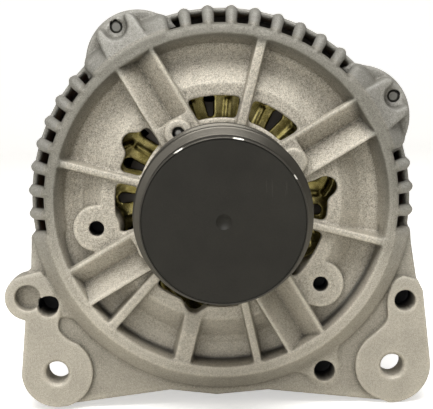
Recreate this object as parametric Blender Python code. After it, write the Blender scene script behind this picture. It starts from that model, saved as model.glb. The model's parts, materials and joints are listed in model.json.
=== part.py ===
"""Belt-driven alternator, drive end forward: housings, stator, claw-pole rotor, overrunning pulley, rectifier,
regulator and brushes, each as its own solid. Y runs back along the shaft, and Y = 0 is the front of the raised
ring on the drive-end housing. X is to the right and Z is up, seen from the pulley."""

import math

import bmesh
import bpy
from mathutils import Matrix

MM = 0.001

# Clearances
SEAT_GAP = 0.3 * MM  # between pieces that seat on or in each other
AIR_GAP = 0.6 * MM  # rotor to stator
SLIDE_GAP = 0.35 * MM  # brush to its channel
CUT_OVER = 1.0 * MM  # how far a cutter runs past the face that it opens

# Round body, which the drive end and the stator take their radii from
BODY_R = 69.8 * MM
BODY_WALL = 4.2 * MM
SPIGOT_WALL = 1.8 * MM

# Front bearing, which the hub is bored for
FRONT_BEARING_R = 23.5 * MM
FRONT_BEARING_WIDTH = 14.0 * MM
HUB_WALL = 3.8 * MM

# Drive-end housing, front
RING_INNER_R = BODY_R - 9.7 * MM
RING_WIDTH = 3.6 * MM
RING_DRAFT = 3.5 * MM
SHOULDER_R = BODY_R - 0.1 * MM
SHOULDER_Y = 6.0 * MM
FIN_TIP_R = BODY_R + 1.0 * MM
FIN_TIP_Y = 12.0 * MM
FIN_BACK_Y = 16.0 * MM
VALLEY_R = 0.865 * RING_INNER_R
VALLEY_Y = 9.0 * MM
FLAT_R = 0.827 * VALLEY_R
FLAT_Y = 3.0 * MM
PLATE_THICK = 3.2 * MM
HUB_R = FRONT_BEARING_R + SEAT_GAP + HUB_WALL
WINDOW_INNER_R = HUB_R + 2.8 * MM
WINDOW_OUTER_R = 0.893 * FLAT_R
WINDOW_LOBE_R = 3.2 * MM
HUB_FRONT_Y = -4.0 * MM
HUB_LIP = 3.0 * MM
HUB_HOLE_R = 15.0 * MM

# Windows as start and end angles, with the angle of a round lobe in the outer edge where there is one
WINDOWS = ((42, 72, None), (78, 108, None), (133, 162, 145), (168, 196, None), (230, 280, 254),
           (312, 342, None), (348, 372, 367))
WINDOW_CORNER_DEG = 3.0
WINDOW_EASE = 1.2 * MM
SPOKE_ANGLES = (30, 120, 210, 300)
SPOKE_WIDTH = 16.0 * MM
SPOKE_EDGE = 1.8 * MM
TROUGH_DEPTH = 6.8 * MM
TROUGH_WALL = 2.6 * MM
THIN_RIB_ANGLES = (75, 165, 227.5, 281.7, 345)
THIN_RIB = 2.3 * MM
SHORT_RIB_ANGLE = 255
SHORT_RIB = 5.8 * MM
SHORT_RIB_FROM_R = 0.885 * VALLEY_R
DISH_BOSSES = ((0.35, 190.9), (0.445, 319.1))  # share of the way from the flat to the valley, and angle
DISH_BOSS_R = 8.2 * MM
DISH_BOSS_HOLE_R = 2.75 * MM
DISH_BOSS_DEPTH = 13.0 * MM
DISH_HOLE_DEPTH = 10.0 * MM

# Drive-end housing, rim
HOUSING_DEPTH = 34.0 * MM
SPIGOT_DEPTH = 4.0 * MM
STATOR_R = BODY_R - SPIGOT_WALL
SLOTS_PER_TURN = 50
SLOT_WIDTH = 4.3 * MM
SLOT_FRONT_Y = 2.4 * MM
FIN_NOSE = 2.1 * MM
SLOT_SECTORS = ((75, -4, 4), (165, -4, 3), (345, 1, 4))  # centre angle, first and last slot counted from it

# Mounting ears
EAR_HOLE_X = 62.1 * MM
EAR_HOLE_Z = -62.7 * MM
EAR_HOLE_R = 4.15 * MM
EAR_SINK_R = 5.1 * MM
EAR_FRONT_Y = 6.0 * MM
EAR_THICK = 10.8 * MM
LEFT_CORNER_R = 13.1 * MM
RIGHT_CORNER_R = 14.2 * MM
WEB_STEP = 2.0 * MM
BLIND_BOSS_OUT = 9.8 * MM
BLIND_BOSS_ANGLE = 205.5
BLIND_BOSS_R = 8.4 * MM
BLIND_HOLE_R = 4.75 * MM
BLIND_HOLE_DEPTH = 5.0 * MM
WEB_START_ANGLE = 189.6
WEB_END_ANGLE = 350.6
WEB_HOLE_R = 3.85 * MM
WEB_HOLE_OUT = 7.2 * MM
WEB_HOLE_ANGLE = 330.3
WEB_HOLE_WALL = 2.2 * MM
COUNTERBORE_DEPTH = 14.0 * MM

# Points of the ear outlines, each as its distance out from the body and its angle
WEB_TOP = (4.6 * MM, 198.7)
WEB_BOTTOM = ((3.9 * MM, 253.9), (3.3 * MM, 267.6), (3.6 * MM, 282.6))
WEB_RIGHT = ((11.5 * MM, 334.7), (7.9 * MM, 336.9), (2.8 * MM, 344.3))
LEFT_EAR_TOP = (1.1 * MM, 200.2)
LEFT_EAR_INNER = ((6.8 * MM, 221.2), (7.1 * MM, 216.9), (1.8 * MM, 213.5), (0.0, 205.5))
RIGHT_EAR_INNER = ((2.6 * MM, 336.3), (0.0, 334.2), (1.2 * MM, 327.7), (5.7 * MM, 323.6), (6.0 * MM, 320.8))

# Through bolts
BOLT_CIRCLE_R = BODY_R + 3.4 * MM
BOLT_R = 2.5 * MM
BOLT_BOSS_R = 5.2 * MM
BOLT_FOOT = 9.5 * MM
BOLT_BOSS_FRONT_Y = 7.0 * MM
BOLT_RECESS = 2.0 * MM
BOLT_HEAD_R = 4.6 * MM
BOLT_HEAD = 4.5 * MM
LOBE_REACH = 7.6 * MM  # how far the upper bosses' bulge stands out of the body
LOBE_R = 18.8 * MM
LOBE_HALF_DEG = 60.0
RIDGE = 2.5 * MM
RIDGE_SIDE = 6.0 * MM
RIDGE_FRONT = (0.9 * MM, 6.2 * MM)
POCKET_HALF = 4.6 * MM

# Front bearing's races and its retainer
FRONT_RACES = (4.0 * MM, 3.2 * MM)  # outer and inner race thickness
BALL_PLAY = 0.3 * MM
CAGE_SHARE = 0.4  # cage thickness as a share of the ball's
RETAINER_THICK = 1.5 * MM
RETAINER_SCREW_CIRCLE_R = HUB_R + 1.9 * MM
SCREW_BOSS_R = 4.2 * MM
SCREW_R = 1.9 * MM
SCREW_HEAD_R = 3.4 * MM
SCREW_HEAD = 1.8 * MM

# Stator
STATOR_LENGTH = 35.0 * MM
STATOR_BORE_R = 0.738 * STATOR_R
STATOR_SLOTS = 36
STATOR_SLOT_WIDTH = 0.52 * math.tau * STATOR_BORE_R / STATOR_SLOTS
STATOR_YOKE = 7.5 * MM
STATOR_SLOT_R = STATOR_R - STATOR_YOKE
WINDING_OUT = 10.0 * MM
WINDING_R = STATOR_R - 4.6 * MM
WINDING_INNER_R = STATOR_BORE_R + 2.0 * MM
WINDING_WAVE = 1.6 * MM

# Slip-ring-end housing
REAR_DEPTH = 26.0 * MM
REAR_WALL = 4.0 * MM
REAR_CHAMFER = 5.0 * MM
REAR_HUB_R = 21.5 * MM
REAR_HUB_INTO = 4.5 * MM
REAR_HUB_OUT = 6.0 * MM
REAR_BEARING_R = 17.5 * MM
REAR_BEARING_WIDTH = 11.0 * MM
REAR_RACES = (2.6 * MM, 2.2 * MM)
REAR_LIP = 1.2 * MM
REAR_WINDOWS = 6
REAR_WINDOW_R = (25.0 * MM, 0.66 * BODY_R)
REAR_WINDOW_EDGE_DEG = 7
REAR_SLOTS = 5
REAR_SLOT_WIDTH = 7.0 * MM
REAR_SLOT_PITCH = 11.0  # degrees

# Rotor
SHAFT_R = 11.0 * MM
FRONT_JOURNAL_R = 8.5 * MM
PULLEY_THREAD_R = 8.0 * MM
REAR_JOURNAL_R = 7.5 * MM
CLAW_OVERHANG = 3.0 * MM
CLAWS = 6
CLAW_DISC = 10.0 * MM
CLAW_R = STATOR_BORE_R - AIR_GAP
CLAW_DISC_R = 0.726 * CLAW_R
CLAW_ROOT_DEG = 18.0
CLAW_TIP_DEG = 6.5
CLAW_ROOT_R = 0.787 * CLAW_R
CLAW_TIP_R = CLAW_R - 4.6 * MM
CLAW_TIP_BACK = 3.5 * MM
CORE_R = 0.667 * CLAW_DISC_R
BOBBIN_WALL = 1.4 * MM
FAN_R = CLAW_R - AIR_GAP
FAN_BLADE_FROM_R = 0.79 * FAN_R
FAN_BLADES = 17
FAN_SLOT_R = (0.59 * FAN_R, 0.75 * FAN_R)
FAN_SLOT_HALF = (1.5 * MM, 2.9 * MM)  # half width at the inner and the outer end
FAN_SLOT_SHARE = 0.47  # where between two blades
FAN_SHEET = 1.2 * MM
FAN_HEIGHT = 9.2 * MM
FAN_SWEEP_DEG = 26.0

# Slip rings
SLIP_SLEEVE_R = 6.6 * MM
SLIP_RING_R = 8.2 * MM
SLIP_RING_WIDTH = 5.5 * MM
SLIP_RING_SPACE = 2.0 * MM
SLIP_CLEAR = 3.4 * MM  # from the rear hub to the first ring
SHAFT_TAIL_R = 4.8 * MM

# Overrunning pulley
PULLEY_R = 29.5 * MM
PULLEY_WIDTH = 26.0 * MM
PULLEY_FRONT_Y = -36.0 * MM
GROOVES = 6
GROOVE_PITCH = 3.56 * MM
GROOVE_DEPTH = 2.6 * MM
GROOVE_CREST = 0.3 * MM  # how far the ribs between grooves stay below the flanges
PULLEY_BORE_R = 0.695 * PULLEY_R
CLUTCH_INNER_R = 0.712 * PULLEY_BORE_R
HUB_SLEEVE_R = 0.856 * CLUTCH_INNER_R
CAP_R = PULLEY_R - 2.8 * MM
CAP_PROUD = 11.4 * MM
CAP_WALL = 1.8 * MM
CAP_ROUND = 2.6 * MM
CAP_SKIRT = 4.2 * MM
CAP_SKIRT_R = PULLEY_R - 4.9 * MM
CAP_DIMPLE_R = 2.4 * MM
CAP_DIMPLE = 0.8 * MM

# Rear cover and what it covers
COVER_R = 0.831 * BODY_R
COVER_WALL = 2.0 * MM
COVER_DEPTH = 27.5 * MM
COVER_ROUND = 5.0 * MM
COVER_SCREW_ANGLES = (35, 145, 270)
COVER_SCREW_CIRCLE_R = 0.848 * COVER_R
COVER_POST_R = 3.2 * MM
SINK_INNER_R = REAR_HUB_R + 2.5 * MM
SINK_OUTER_R = COVER_SCREW_CIRCLE_R - COVER_POST_R - 1.0 * MM
SINK_START, SINK_END = 195, 345
SINK_THICK = 2.5 * MM
DIODE_R = 6.2 * MM
DIODE_HEIGHT = 6.0 * MM
DIODE_CIRCLE_R = 0.8 * SINK_OUTER_R
DIODE_ANGLES = (250, 280, 310)
BOARD_THICK = 2.0 * MM
STUD_R = 4.0 * MM
STUD_OUT = 12.0 * MM
STUD_ANGLE = 218
STUD_CIRCLE_R = SINK_OUTER_R - 5.0 * MM
STUD_FOOT = 4.0 * MM
NUT_R = 7.5 * MM
NUT_THICK = 6.0 * MM
BRUSH_X = 6.4 * MM
BRUSH_Y = 4.6 * MM
BRUSH_LENGTH = 15.0 * MM
BRUSH_TRAVEL = 3.0 * MM
SPRING_LENGTH = 10.0 * MM
SPRING_R = 1.9 * MM
SPRING_WIRE_R = 0.35 * MM
SPRING_TURNS = 4
HOLDER_WALL = 1.8 * MM
REGULATOR_SIZE = (22.0 * MM, 12.0 * MM, 24.0 * MM)
SOCKET_SIZE = (24.0 * MM, 14.0 * MM)
SOCKET_WALL = 1.8 * MM
SOCKET_TOP_Z = COVER_R + 6.0 * MM
SOCKET_FLOOR_Z = COVER_R - 12.0 * MM
SOCKET_FLOOR_THICK = 4.0 * MM
SOCKET_STEM = 8.0 * MM
PINS = 3
PIN_WIDTH = 1.6 * MM
PIN_HEIGHT = 7.0 * MM
VENT_R = (16.0 * MM, 40.0 * MM)
VENT_WIDTH = 3.6 * MM
VENT_PITCH_DEG = 30
REGULATOR_FIN = 2.0 * MM
REGULATOR_FIN_OUT = 4.0 * MM
REGULATOR_EDGE = 3.0 * MM

# Places along the shaft that follow from the sizes above
FRONT_BEARING_Y = HUB_FRONT_Y + HUB_LIP + SEAT_GAP
HUB_BACK_Y = FRONT_BEARING_Y + FRONT_BEARING_WIDTH + SEAT_GAP
RETAINER_Y = HUB_BACK_Y + SEAT_GAP
STATOR_Y = HOUSING_DEPTH - SPIGOT_DEPTH + SEAT_GAP
STATOR_END_Y = STATOR_Y + STATOR_LENGTH
ROTOR_MID_Y = STATOR_Y + STATOR_LENGTH / 2
CLAW_HALF = STATOR_LENGTH / 2 + CLAW_OVERHANG
REAR_Y = STATOR_END_Y + SEAT_GAP - SPIGOT_DEPTH
REAR_BACK_Y = REAR_Y + REAR_DEPTH
REAR_BEARING_Y = REAR_BACK_Y + REAR_HUB_OUT - REAR_LIP - SEAT_GAP - REAR_BEARING_WIDTH
SLIP_Y = REAR_BACK_Y + REAR_HUB_OUT + SLIP_CLEAR
SLIP_PITCH = SLIP_RING_WIDTH + SLIP_RING_SPACE
COVER_Y = REAR_BACK_Y + SEAT_GAP
COVER_BACK_Y = COVER_Y + COVER_DEPTH
SINK_Y = REAR_BACK_Y + SEAT_GAP
BRUSH_BASE_Z = SLIP_RING_R + SEAT_GAP
BRUSH_TOP_Z = BRUSH_BASE_Z + BRUSH_LENGTH
SPRING_BASE_Z = BRUSH_TOP_Z + SEAT_GAP
SPRING_TOP_Z = SPRING_BASE_Z + SPRING_LENGTH
BRUSH_YS = (SLIP_Y + SLIP_RING_WIDTH / 2, SLIP_Y + SLIP_PITCH + SLIP_RING_WIDTH / 2)

# Facets round a full turn
FINE_N = 38
MEDIUM_N = 26
RING_N = 18
SHAFT_N = 16
SMALL_N = 12
TINY_N = 8

# The castings have too many meeting faces for the exact solver
CASTING = "MANIFOLD"

for old in list(bpy.data.objects):
    bpy.data.objects.remove(old, do_unlink=True)


def material(name, colour, roughness, metallic):
    """A Principled material."""
    made = bpy.data.materials.new(name)
    made.use_nodes = True
    shader = made.node_tree.nodes["Principled BSDF"]
    shader.inputs["Base Color"].default_value = (*colour, 1)
    shader.inputs["Roughness"].default_value = roughness
    shader.inputs["Metallic"].default_value = metallic
    made.diffuse_color = (*colour, 1)
    return made


CAST = material("sand_cast_aluminium", (0.36, 0.34, 0.29), 0.62, 0.55)
STEEL = material("bright_steel", (0.45, 0.44, 0.42), 0.35, 0.9)
PULLEY_STEEL = material("pulley_steel", (0.27, 0.26, 0.24), 0.45, 0.8)
LAMINATE = material("lamination_steel", (0.12, 0.12, 0.13), 0.5, 0.7)
COPPER = material("enamelled_copper", (0.42, 0.16, 0.06), 0.38, 0.7)
CHROMATE = material("yellow_chromate_steel", (0.42, 0.33, 0.10), 0.4, 0.8)
BLACK = material("black_plastic", (0.045, 0.042, 0.038), 0.6, 0.0)
BROWN = material("brown_board", (0.14, 0.07, 0.03), 0.6, 0.0)
ALLOY = material("plate_aluminium", (0.5, 0.5, 0.5), 0.4, 0.8)
BRASS = material("slip_ring_copper", (0.62, 0.32, 0.14), 0.25, 0.9)
CARBON = material("brush_carbon", (0.03, 0.03, 0.03), 0.5, 0.2)


def empty(name, parent=None, place=(0, 0, 0)):
    made = bpy.data.objects.new(name, None)
    bpy.context.scene.collection.objects.link(made)
    made.parent = parent
    made.location = place
    return made


def piece(name, mesh, finish, parent, place=(0, 0, 0)):
    """A named sub-part from a mesh in the alternator's frame; place is its parent's place in that frame."""
    mesh.transform(Matrix.Translation([-value for value in place]))
    mesh.name = name
    mesh.materials.clear()
    mesh.materials.append(finish)
    made = bpy.data.objects.new(name, mesh)
    bpy.context.scene.collection.objects.link(made)
    made.parent = parent
    mesh.shade_smooth()
    mesh.set_sharp_from_angle(angle=math.radians(32))
    return made


def mesh_from(bm, name="shape"):
    bmesh.ops.recalc_face_normals(bm, faces=bm.faces)
    mesh = bpy.data.meshes.new(name)
    bm.to_mesh(mesh)
    bm.free()
    return mesh


def revolve(profile, steps=MEDIUM_N):
    """A profile of (radius, y) points turned about the shaft, closed unless both ends are on the axis."""
    bm = bmesh.new()
    verts = [bm.verts.new((radius, y, 0)) for radius, y in profile]
    edges = [bm.edges.new(pair) for pair in zip(verts, verts[1:])]
    if profile[0][0] or profile[-1][0]:
        edges.append(bm.edges.new((verts[-1], verts[0])))
    bmesh.ops.spin(bm, geom=verts + edges, axis=(0, 1, 0), cent=(0, 0, 0), angle=math.tau, steps=steps)
    bmesh.ops.remove_doubles(bm, verts=bm.verts, dist=0.002 * MM)
    return mesh_from(bm)


def slab(outline, y0, y1):
    """An outline of (x, z) points carried straight back from y0 to y1."""
    bm = bmesh.new()
    front = [bm.verts.new((x, y0, z)) for x, z in outline]
    back = [bm.verts.new((x, y1, z)) for x, z in outline]
    bm.faces.new(front)
    bm.faces.new(reversed(back))
    for i in range(len(outline)):
        j = (i + 1) % len(outline)
        bm.faces.new((front[i], back[i], back[j], front[j]))
    return mesh_from(bm)


def bar(section, r0, r1):
    """A section of (sideways, y) points carried out along +X from radius r0 to r1."""
    mesh = slab(section, r0, r1)
    mesh.transform(Matrix(((0, 1, 0, 0), (0, 0, 1, 0), (1, 0, 0, 0), (0, 0, 0, 1))))
    return mesh


def box(x0, x1, y0, y1, z0, z1):
    return slab([(x0, z0), (x1, z0), (x1, z1), (x0, z1)], y0, y1)


def polar(radius, degrees):
    return radius * math.cos(math.radians(degrees)), radius * math.sin(math.radians(degrees))


def arc(centre, radius, start, end, steps):
    """Points on a circle from one angle to another, both ends included."""
    turn = [start + (end - start) * i / steps for i in range(steps + 1)]
    return [(centre[0] + x, centre[1] + z) for x, z in (polar(radius, degrees) for degrees in turn)]


def circle(centre, radius, steps=SMALL_N):
    return arc(centre, radius, 0, 360 * (steps - 1) / steps, steps - 1)


def disc(centre, radius, y0, y1, steps=SMALL_N):
    return slab(circle(centre, radius, steps), y0, y1)


def copied(mesh, matrix):
    made = mesh.copy()
    made.transform(matrix)
    return made


def turned(mesh, degrees):
    """A copy turned about the shaft, counter-clockwise as seen from the pulley."""
    return copied(mesh, Matrix.Rotation(-math.radians(degrees), 4, "Y"))


def gathered(meshes):
    bm = bmesh.new()
    for mesh in meshes:
        bm.from_mesh(mesh)
    return mesh_from(bm)


def combined(base, tool, operation, solver):
    """One mesh from a Boolean of two closed meshes."""
    body = bpy.data.objects.new("body", base)
    other = bpy.data.objects.new("other", tool)
    for made in (body, other):
        bpy.context.scene.collection.objects.link(made)
    step = body.modifiers.new("step", "BOOLEAN")
    step.operation = operation
    step.solver = solver
    step.object = other
    result = bpy.data.meshes.new_from_object(body.evaluated_get(bpy.context.evaluated_depsgraph_get()))
    for made in (body, other):
        bpy.data.objects.remove(made, do_unlink=True)
    return result


def joined(base, *tools, solver="EXACT"):
    for tool in tools:
        base = combined(base, tool, "UNION", solver)
    return base


def carved(base, *tools, solver="EXACT"):
    for tool in tools:
        base = combined(base, tool, "DIFFERENCE", solver)
    return base


def ring(inner, outer, y0, y1, steps=RING_N):
    return revolve([(outer, y0), (outer, y1), (inner, y1), (inner, y0)], steps)


def sector(inner, outer, start, end, y0, y1, step_deg=6.0):
    """A slice of a ring between two angles."""
    steps = max(2, round((end - start) / step_deg))
    outline = arc((0, 0), outer, start, end, steps) + arc((0, 0), inner, end, start, steps)
    return slab(outline, y0, y1)


def at_angles(mesh, angles):
    return gathered([turned(mesh, angle) for angle in angles])


def window_cutter(start, end, lobe):
    """An air window with rounded corners, and a round lobe in its outer edge where the casting has one."""
    corner = WINDOW_CORNER_DEG
    low, high = WINDOW_INNER_R, WINDOW_OUTER_R
    steps = max(2, round((end - start) / 12))
    outline = [polar(high - WINDOW_EASE, start), polar(high, start + corner / 2)]
    outline += arc((0, 0), high, start + corner, end - corner, steps)
    outline += [polar(high, end - corner / 2), polar(high - WINDOW_EASE, end)]
    outline += [polar(low, end)]
    outline += arc((0, 0), low, end - corner, start + corner, steps)
    outline += [polar(low, start)]
    y0, y1 = FLAT_Y - CUT_OVER, FLAT_Y + PLATE_THICK + CUT_OVER
    cutter = slab(outline, y0, y1)
    if lobe is None:
        return cutter
    return joined(cutter, disc(polar(high, lobe), WINDOW_LOBE_R, y0, y1, TINY_N))


def bolt_lobe(from_r, foot):
    """The outline of one through-bolt boss: a round end on a foot that widens in to the wall."""
    return [(from_r, foot), (from_r, -foot)] + arc((BOLT_CIRCLE_R, 0), BOLT_BOSS_R, -72, 72, 5)


def ridge(r0, r1, front0, front1, back_y, side):
    """A thin wall that runs out along +X at one side, and whose front slopes back from front0 to front1."""
    outline = [(r0, front0), (r1, front1), (r1, back_y), (r0, back_y)]
    mesh = slab(outline, side - RIDGE / 2, side + RIDGE / 2)
    mesh.transform(Matrix(((1, 0, 0, 0), (0, 0, 1, 0), (0, -1, 0, 0), (0, 0, 0, 1))))
    return mesh


def rim_points(places):
    """Points that are given by their distance out from the body and their angle."""
    return [polar(BODY_R + out, degrees) for out, degrees in places]


def blind_boss_place():
    return polar(BODY_R + BLIND_BOSS_OUT, BLIND_BOSS_ANGLE)


def ear_outlines():
    """The web that runs round the lower half, and the thicker left and right ear blocks on it."""
    left_hole, right_hole = (-EAR_HOLE_X, EAR_HOLE_Z), (EAR_HOLE_X, EAR_HOLE_Z)
    boss = arc(blind_boss_place(), BLIND_BOSS_R, 98, 262, 7)
    inner = arc((0, 0), BODY_R - BODY_WALL + CUT_OVER, WEB_END_ANGLE, WEB_START_ANGLE, 13)
    right_side = rim_points(WEB_RIGHT)
    web = [polar(SHOULDER_R + CUT_OVER, WEB_START_ANGLE)] + rim_points([WEB_TOP]) + boss
    web += arc(left_hole, LEFT_CORNER_R, 184, 270, 5) + rim_points(WEB_BOTTOM)
    web += arc(right_hole, RIGHT_CORNER_R, 266, 362, 5) + right_side
    web += [polar(SHOULDER_R, WEB_END_ANGLE)] + inner
    left = rim_points([LEFT_EAR_TOP]) + boss + arc(left_hole, LEFT_CORNER_R, 184, 408, 11)
    left += rim_points(LEFT_EAR_INNER)
    right = arc(right_hole, RIGHT_CORNER_R, 132, 362, 12) + right_side[:2] + rim_points(RIGHT_EAR_INNER)
    return web, left, right


def slot_cutter():
    """One air slot between two fins, opening out at its mouth so that the fins end in round noses."""
    half = SLOT_WIDTH / 2
    pitch = math.tau / SLOTS_PER_TURN * FIN_TIP_R / 2
    mouth_r = FIN_TIP_R - FIN_NOSE
    root_r = RING_INNER_R + RING_WIDTH + SEAT_GAP
    flare = [(mouth_r, half), (FIN_TIP_R + CUT_OVER, pitch)]
    upper = [(root_r, half)] + flare
    lower = [(x, -z) for x, z in reversed(upper)]
    return slab(lower + upper, SLOT_FRONT_Y, FIN_BACK_Y)


def drive_end_housing():
    ring_outer = RING_INNER_R + RING_WIDTH
    cavity_r = BODY_R - BODY_WALL
    outer = revolve([
        (0, HUB_FRONT_Y), (HUB_R, HUB_FRONT_Y), (HUB_R, FLAT_Y), (FLAT_R, FLAT_Y), (VALLEY_R, VALLEY_Y),
        (RING_INNER_R - RING_DRAFT, VALLEY_Y - 1 * MM), (RING_INNER_R, 0), (ring_outer, 0),
        (SHOULDER_R, SHOULDER_Y), (FIN_TIP_R, FIN_TIP_Y), (FIN_TIP_R, FIN_BACK_Y), (BODY_R, FIN_BACK_Y),
        (BODY_R, HOUSING_DEPTH), (0, HOUSING_DEPTH)], FINE_N)
    web, left, right = ear_outlines()
    ear_back_y = EAR_FRONT_Y + EAR_THICK
    webs = slab(web, EAR_FRONT_Y + WEB_STEP, ear_back_y - WEB_STEP / 2)
    solid = joined(outer, webs, slab(left, EAR_FRONT_Y, ear_back_y), slab(right, EAR_FRONT_Y, ear_back_y),
                   solver=CASTING)
    bolt_boss = slab(bolt_lobe(ring_outer + 1 * MM, BOLT_FOOT), BOLT_BOSS_FRONT_Y, HOUSING_DEPTH)
    lobe_mid = BODY_R + LOBE_REACH - LOBE_R
    bulge = slab(arc((lobe_mid, 0), LOBE_R, -LOBE_HALF_DEG, LOBE_HALF_DEG, 8), BOLT_BOSS_FRONT_Y,
                 HOUSING_DEPTH)
    drill_boss = disc(polar(BODY_R + WEB_HOLE_OUT, WEB_HOLE_ANGLE), WEB_HOLE_R + WEB_HOLE_WALL,
                      EAR_FRONT_Y + WEB_STEP, EAR_FRONT_Y + COUNTERBORE_DEPTH + WEB_HOLE_WALL, SMALL_N)
    solid = joined(solid, at_angles(bolt_boss, SPOKE_ANGLES[2:]), at_angles(bulge, SPOKE_ANGLES[:2]),
                   drill_boss, solver=CASTING)
    pocket = box(ring_outer + SEAT_GAP, BOLT_CIRCLE_R, -CUT_OVER, BOLT_BOSS_FRONT_Y, -POCKET_HALF,
                 POCKET_HALF)
    solid = carved(solid, at_angles(pocket, SPOKE_ANGLES[:2]), solver=CASTING)
    ridges = gathered([ridge(ring_outer - 1 * MM, BODY_R + LOBE_REACH - RIDGE / 2, *RIDGE_FRONT,
                             BOLT_BOSS_FRONT_Y + RIDGE, side) for side in (-RIDGE_SIDE, RIDGE_SIDE)])
    solid = joined(solid, at_angles(ridges, SPOKE_ANGLES[:2]), solver=CASTING)
    pocket_r = FRONT_BEARING_R + SEAT_GAP
    cavity = revolve([
        (0, HUB_FRONT_Y - CUT_OVER), (HUB_HOLE_R, HUB_FRONT_Y - CUT_OVER),
        (HUB_HOLE_R, HUB_FRONT_Y + HUB_LIP), (pocket_r, HUB_FRONT_Y + HUB_LIP), (pocket_r, HUB_BACK_Y),
        (HUB_R, HUB_BACK_Y),
        (HUB_R, FLAT_Y + PLATE_THICK), (FLAT_R + 1 * MM, FLAT_Y + PLATE_THICK),
        (VALLEY_R, VALLEY_Y + PLATE_THICK),
        (ring_outer - 1.5 * MM, VALLEY_Y), (cavity_r, VALLEY_Y + 4 * MM),
        (cavity_r, HOUSING_DEPTH - SPIGOT_DEPTH), (STATOR_R + SEAT_GAP, HOUSING_DEPTH - SPIGOT_DEPTH),
        (STATOR_R + SEAT_GAP, HOUSING_DEPTH + CUT_OVER), (0, HOUSING_DEPTH + CUT_OVER)], FINE_N)
    solid = carved(solid, cavity, gathered([window_cutter(*window) for window in WINDOWS]), solver=CASTING)
    half = SPOKE_WIDTH / 2
    lip = half - SPOKE_EDGE
    trough_y = TROUGH_DEPTH + TROUGH_WALL
    spoke = bar([(-half, 0), (half, 0), (half, FLAT_Y + 1 * MM), (TROUGH_WALL, trough_y),
                 (-TROUGH_WALL, trough_y), (-half, FLAT_Y + 1 * MM)], HUB_R - 1 * MM, RING_INNER_R + 1 * MM)
    rib = bar([(-THIN_RIB / 2, 0), (THIN_RIB / 2, 0), (THIN_RIB / 2, VALLEY_Y), (-THIN_RIB / 2, VALLEY_Y)],
              HUB_R - 1 * MM, RING_INNER_R + 1 * MM)
    wide = bar([(-SHORT_RIB / 2, 0), (SHORT_RIB / 2, 0), (SHORT_RIB / 2, VALLEY_Y + 1 * MM),
                (-SHORT_RIB / 2, VALLEY_Y + 1 * MM)], SHORT_RIB_FROM_R, RING_INNER_R + 1 * MM)
    screw_boss = disc((RETAINER_SCREW_CIRCLE_R, 0), SCREW_BOSS_R, HUB_FRONT_Y, HUB_BACK_Y, SMALL_N)
    pad_places = [polar(FLAT_R + (VALLEY_R - FLAT_R) * share, degrees) for share, degrees in DISH_BOSSES]
    pads = [disc(place, DISH_BOSS_R, FLAT_Y, FLAT_Y + DISH_BOSS_DEPTH) for place in pad_places]
    solid = joined(solid, at_angles(spoke, SPOKE_ANGLES), at_angles(rib, THIN_RIB_ANGLES),
                   turned(wide, SHORT_RIB_ANGLE), gathered(pads), solver=CASTING)
    trough = bar([(-lip, -CUT_OVER), (lip, -CUT_OVER), (lip, 0), (0, TROUGH_DEPTH), (-lip, 0)],
                 RETAINER_SCREW_CIRCLE_R + SCREW_BOSS_R, RING_INNER_R - 0.6 * MM)
    solid = carved(solid, at_angles(trough, SPOKE_ANGLES), solver=CASTING)
    solid = joined(solid, at_angles(screw_boss, SPOKE_ANGLES), solver=CASTING)
    screw_hole = disc((RETAINER_SCREW_CIRCLE_R, 0), SCREW_R + SEAT_GAP, HUB_FRONT_Y - CUT_OVER,
                      HUB_BACK_Y + CUT_OVER, TINY_N)
    bolt_hole = disc((BOLT_CIRCLE_R, 0), BOLT_R + SEAT_GAP, 0, HOUSING_DEPTH + CUT_OVER, TINY_N)
    counterbore = disc((BOLT_CIRCLE_R, 0), WEB_HOLE_R, 0, EAR_FRONT_Y + COUNTERBORE_DEPTH, TINY_N)
    ear_hole = [disc((side * EAR_HOLE_X, EAR_HOLE_Z), EAR_HOLE_R, 0, ear_back_y + CUT_OVER)
                for side in (-1, 1)]
    pad_hole = [disc(place, DISH_BOSS_HOLE_R, FLAT_Y - CUT_OVER, FLAT_Y + DISH_HOLE_DEPTH, TINY_N)
                for place in pad_places]
    blind = disc(blind_boss_place(), BLIND_HOLE_R, 0, EAR_FRONT_Y + BLIND_HOLE_DEPTH)
    extra = disc(polar(BODY_R + WEB_HOLE_OUT, WEB_HOLE_ANGLE), WEB_HOLE_R, 0, EAR_FRONT_Y + COUNTERBORE_DEPTH,
                 TINY_N)
    solid = carved(solid, at_angles(screw_hole, SPOKE_ANGLES), at_angles(bolt_hole, SPOKE_ANGLES),
                   at_angles(counterbore, SPOKE_ANGLES[2:]), gathered(ear_hole + pad_hole + [blind, extra]),
                   solver=CASTING)
    pitch = 360 / SLOTS_PER_TURN
    angles = [centre + pitch * step for centre, first, last in SLOT_SECTORS
              for step in range(first, last + 1)]
    return carved(solid, at_angles(slot_cutter(), angles), solver=CASTING)


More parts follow.
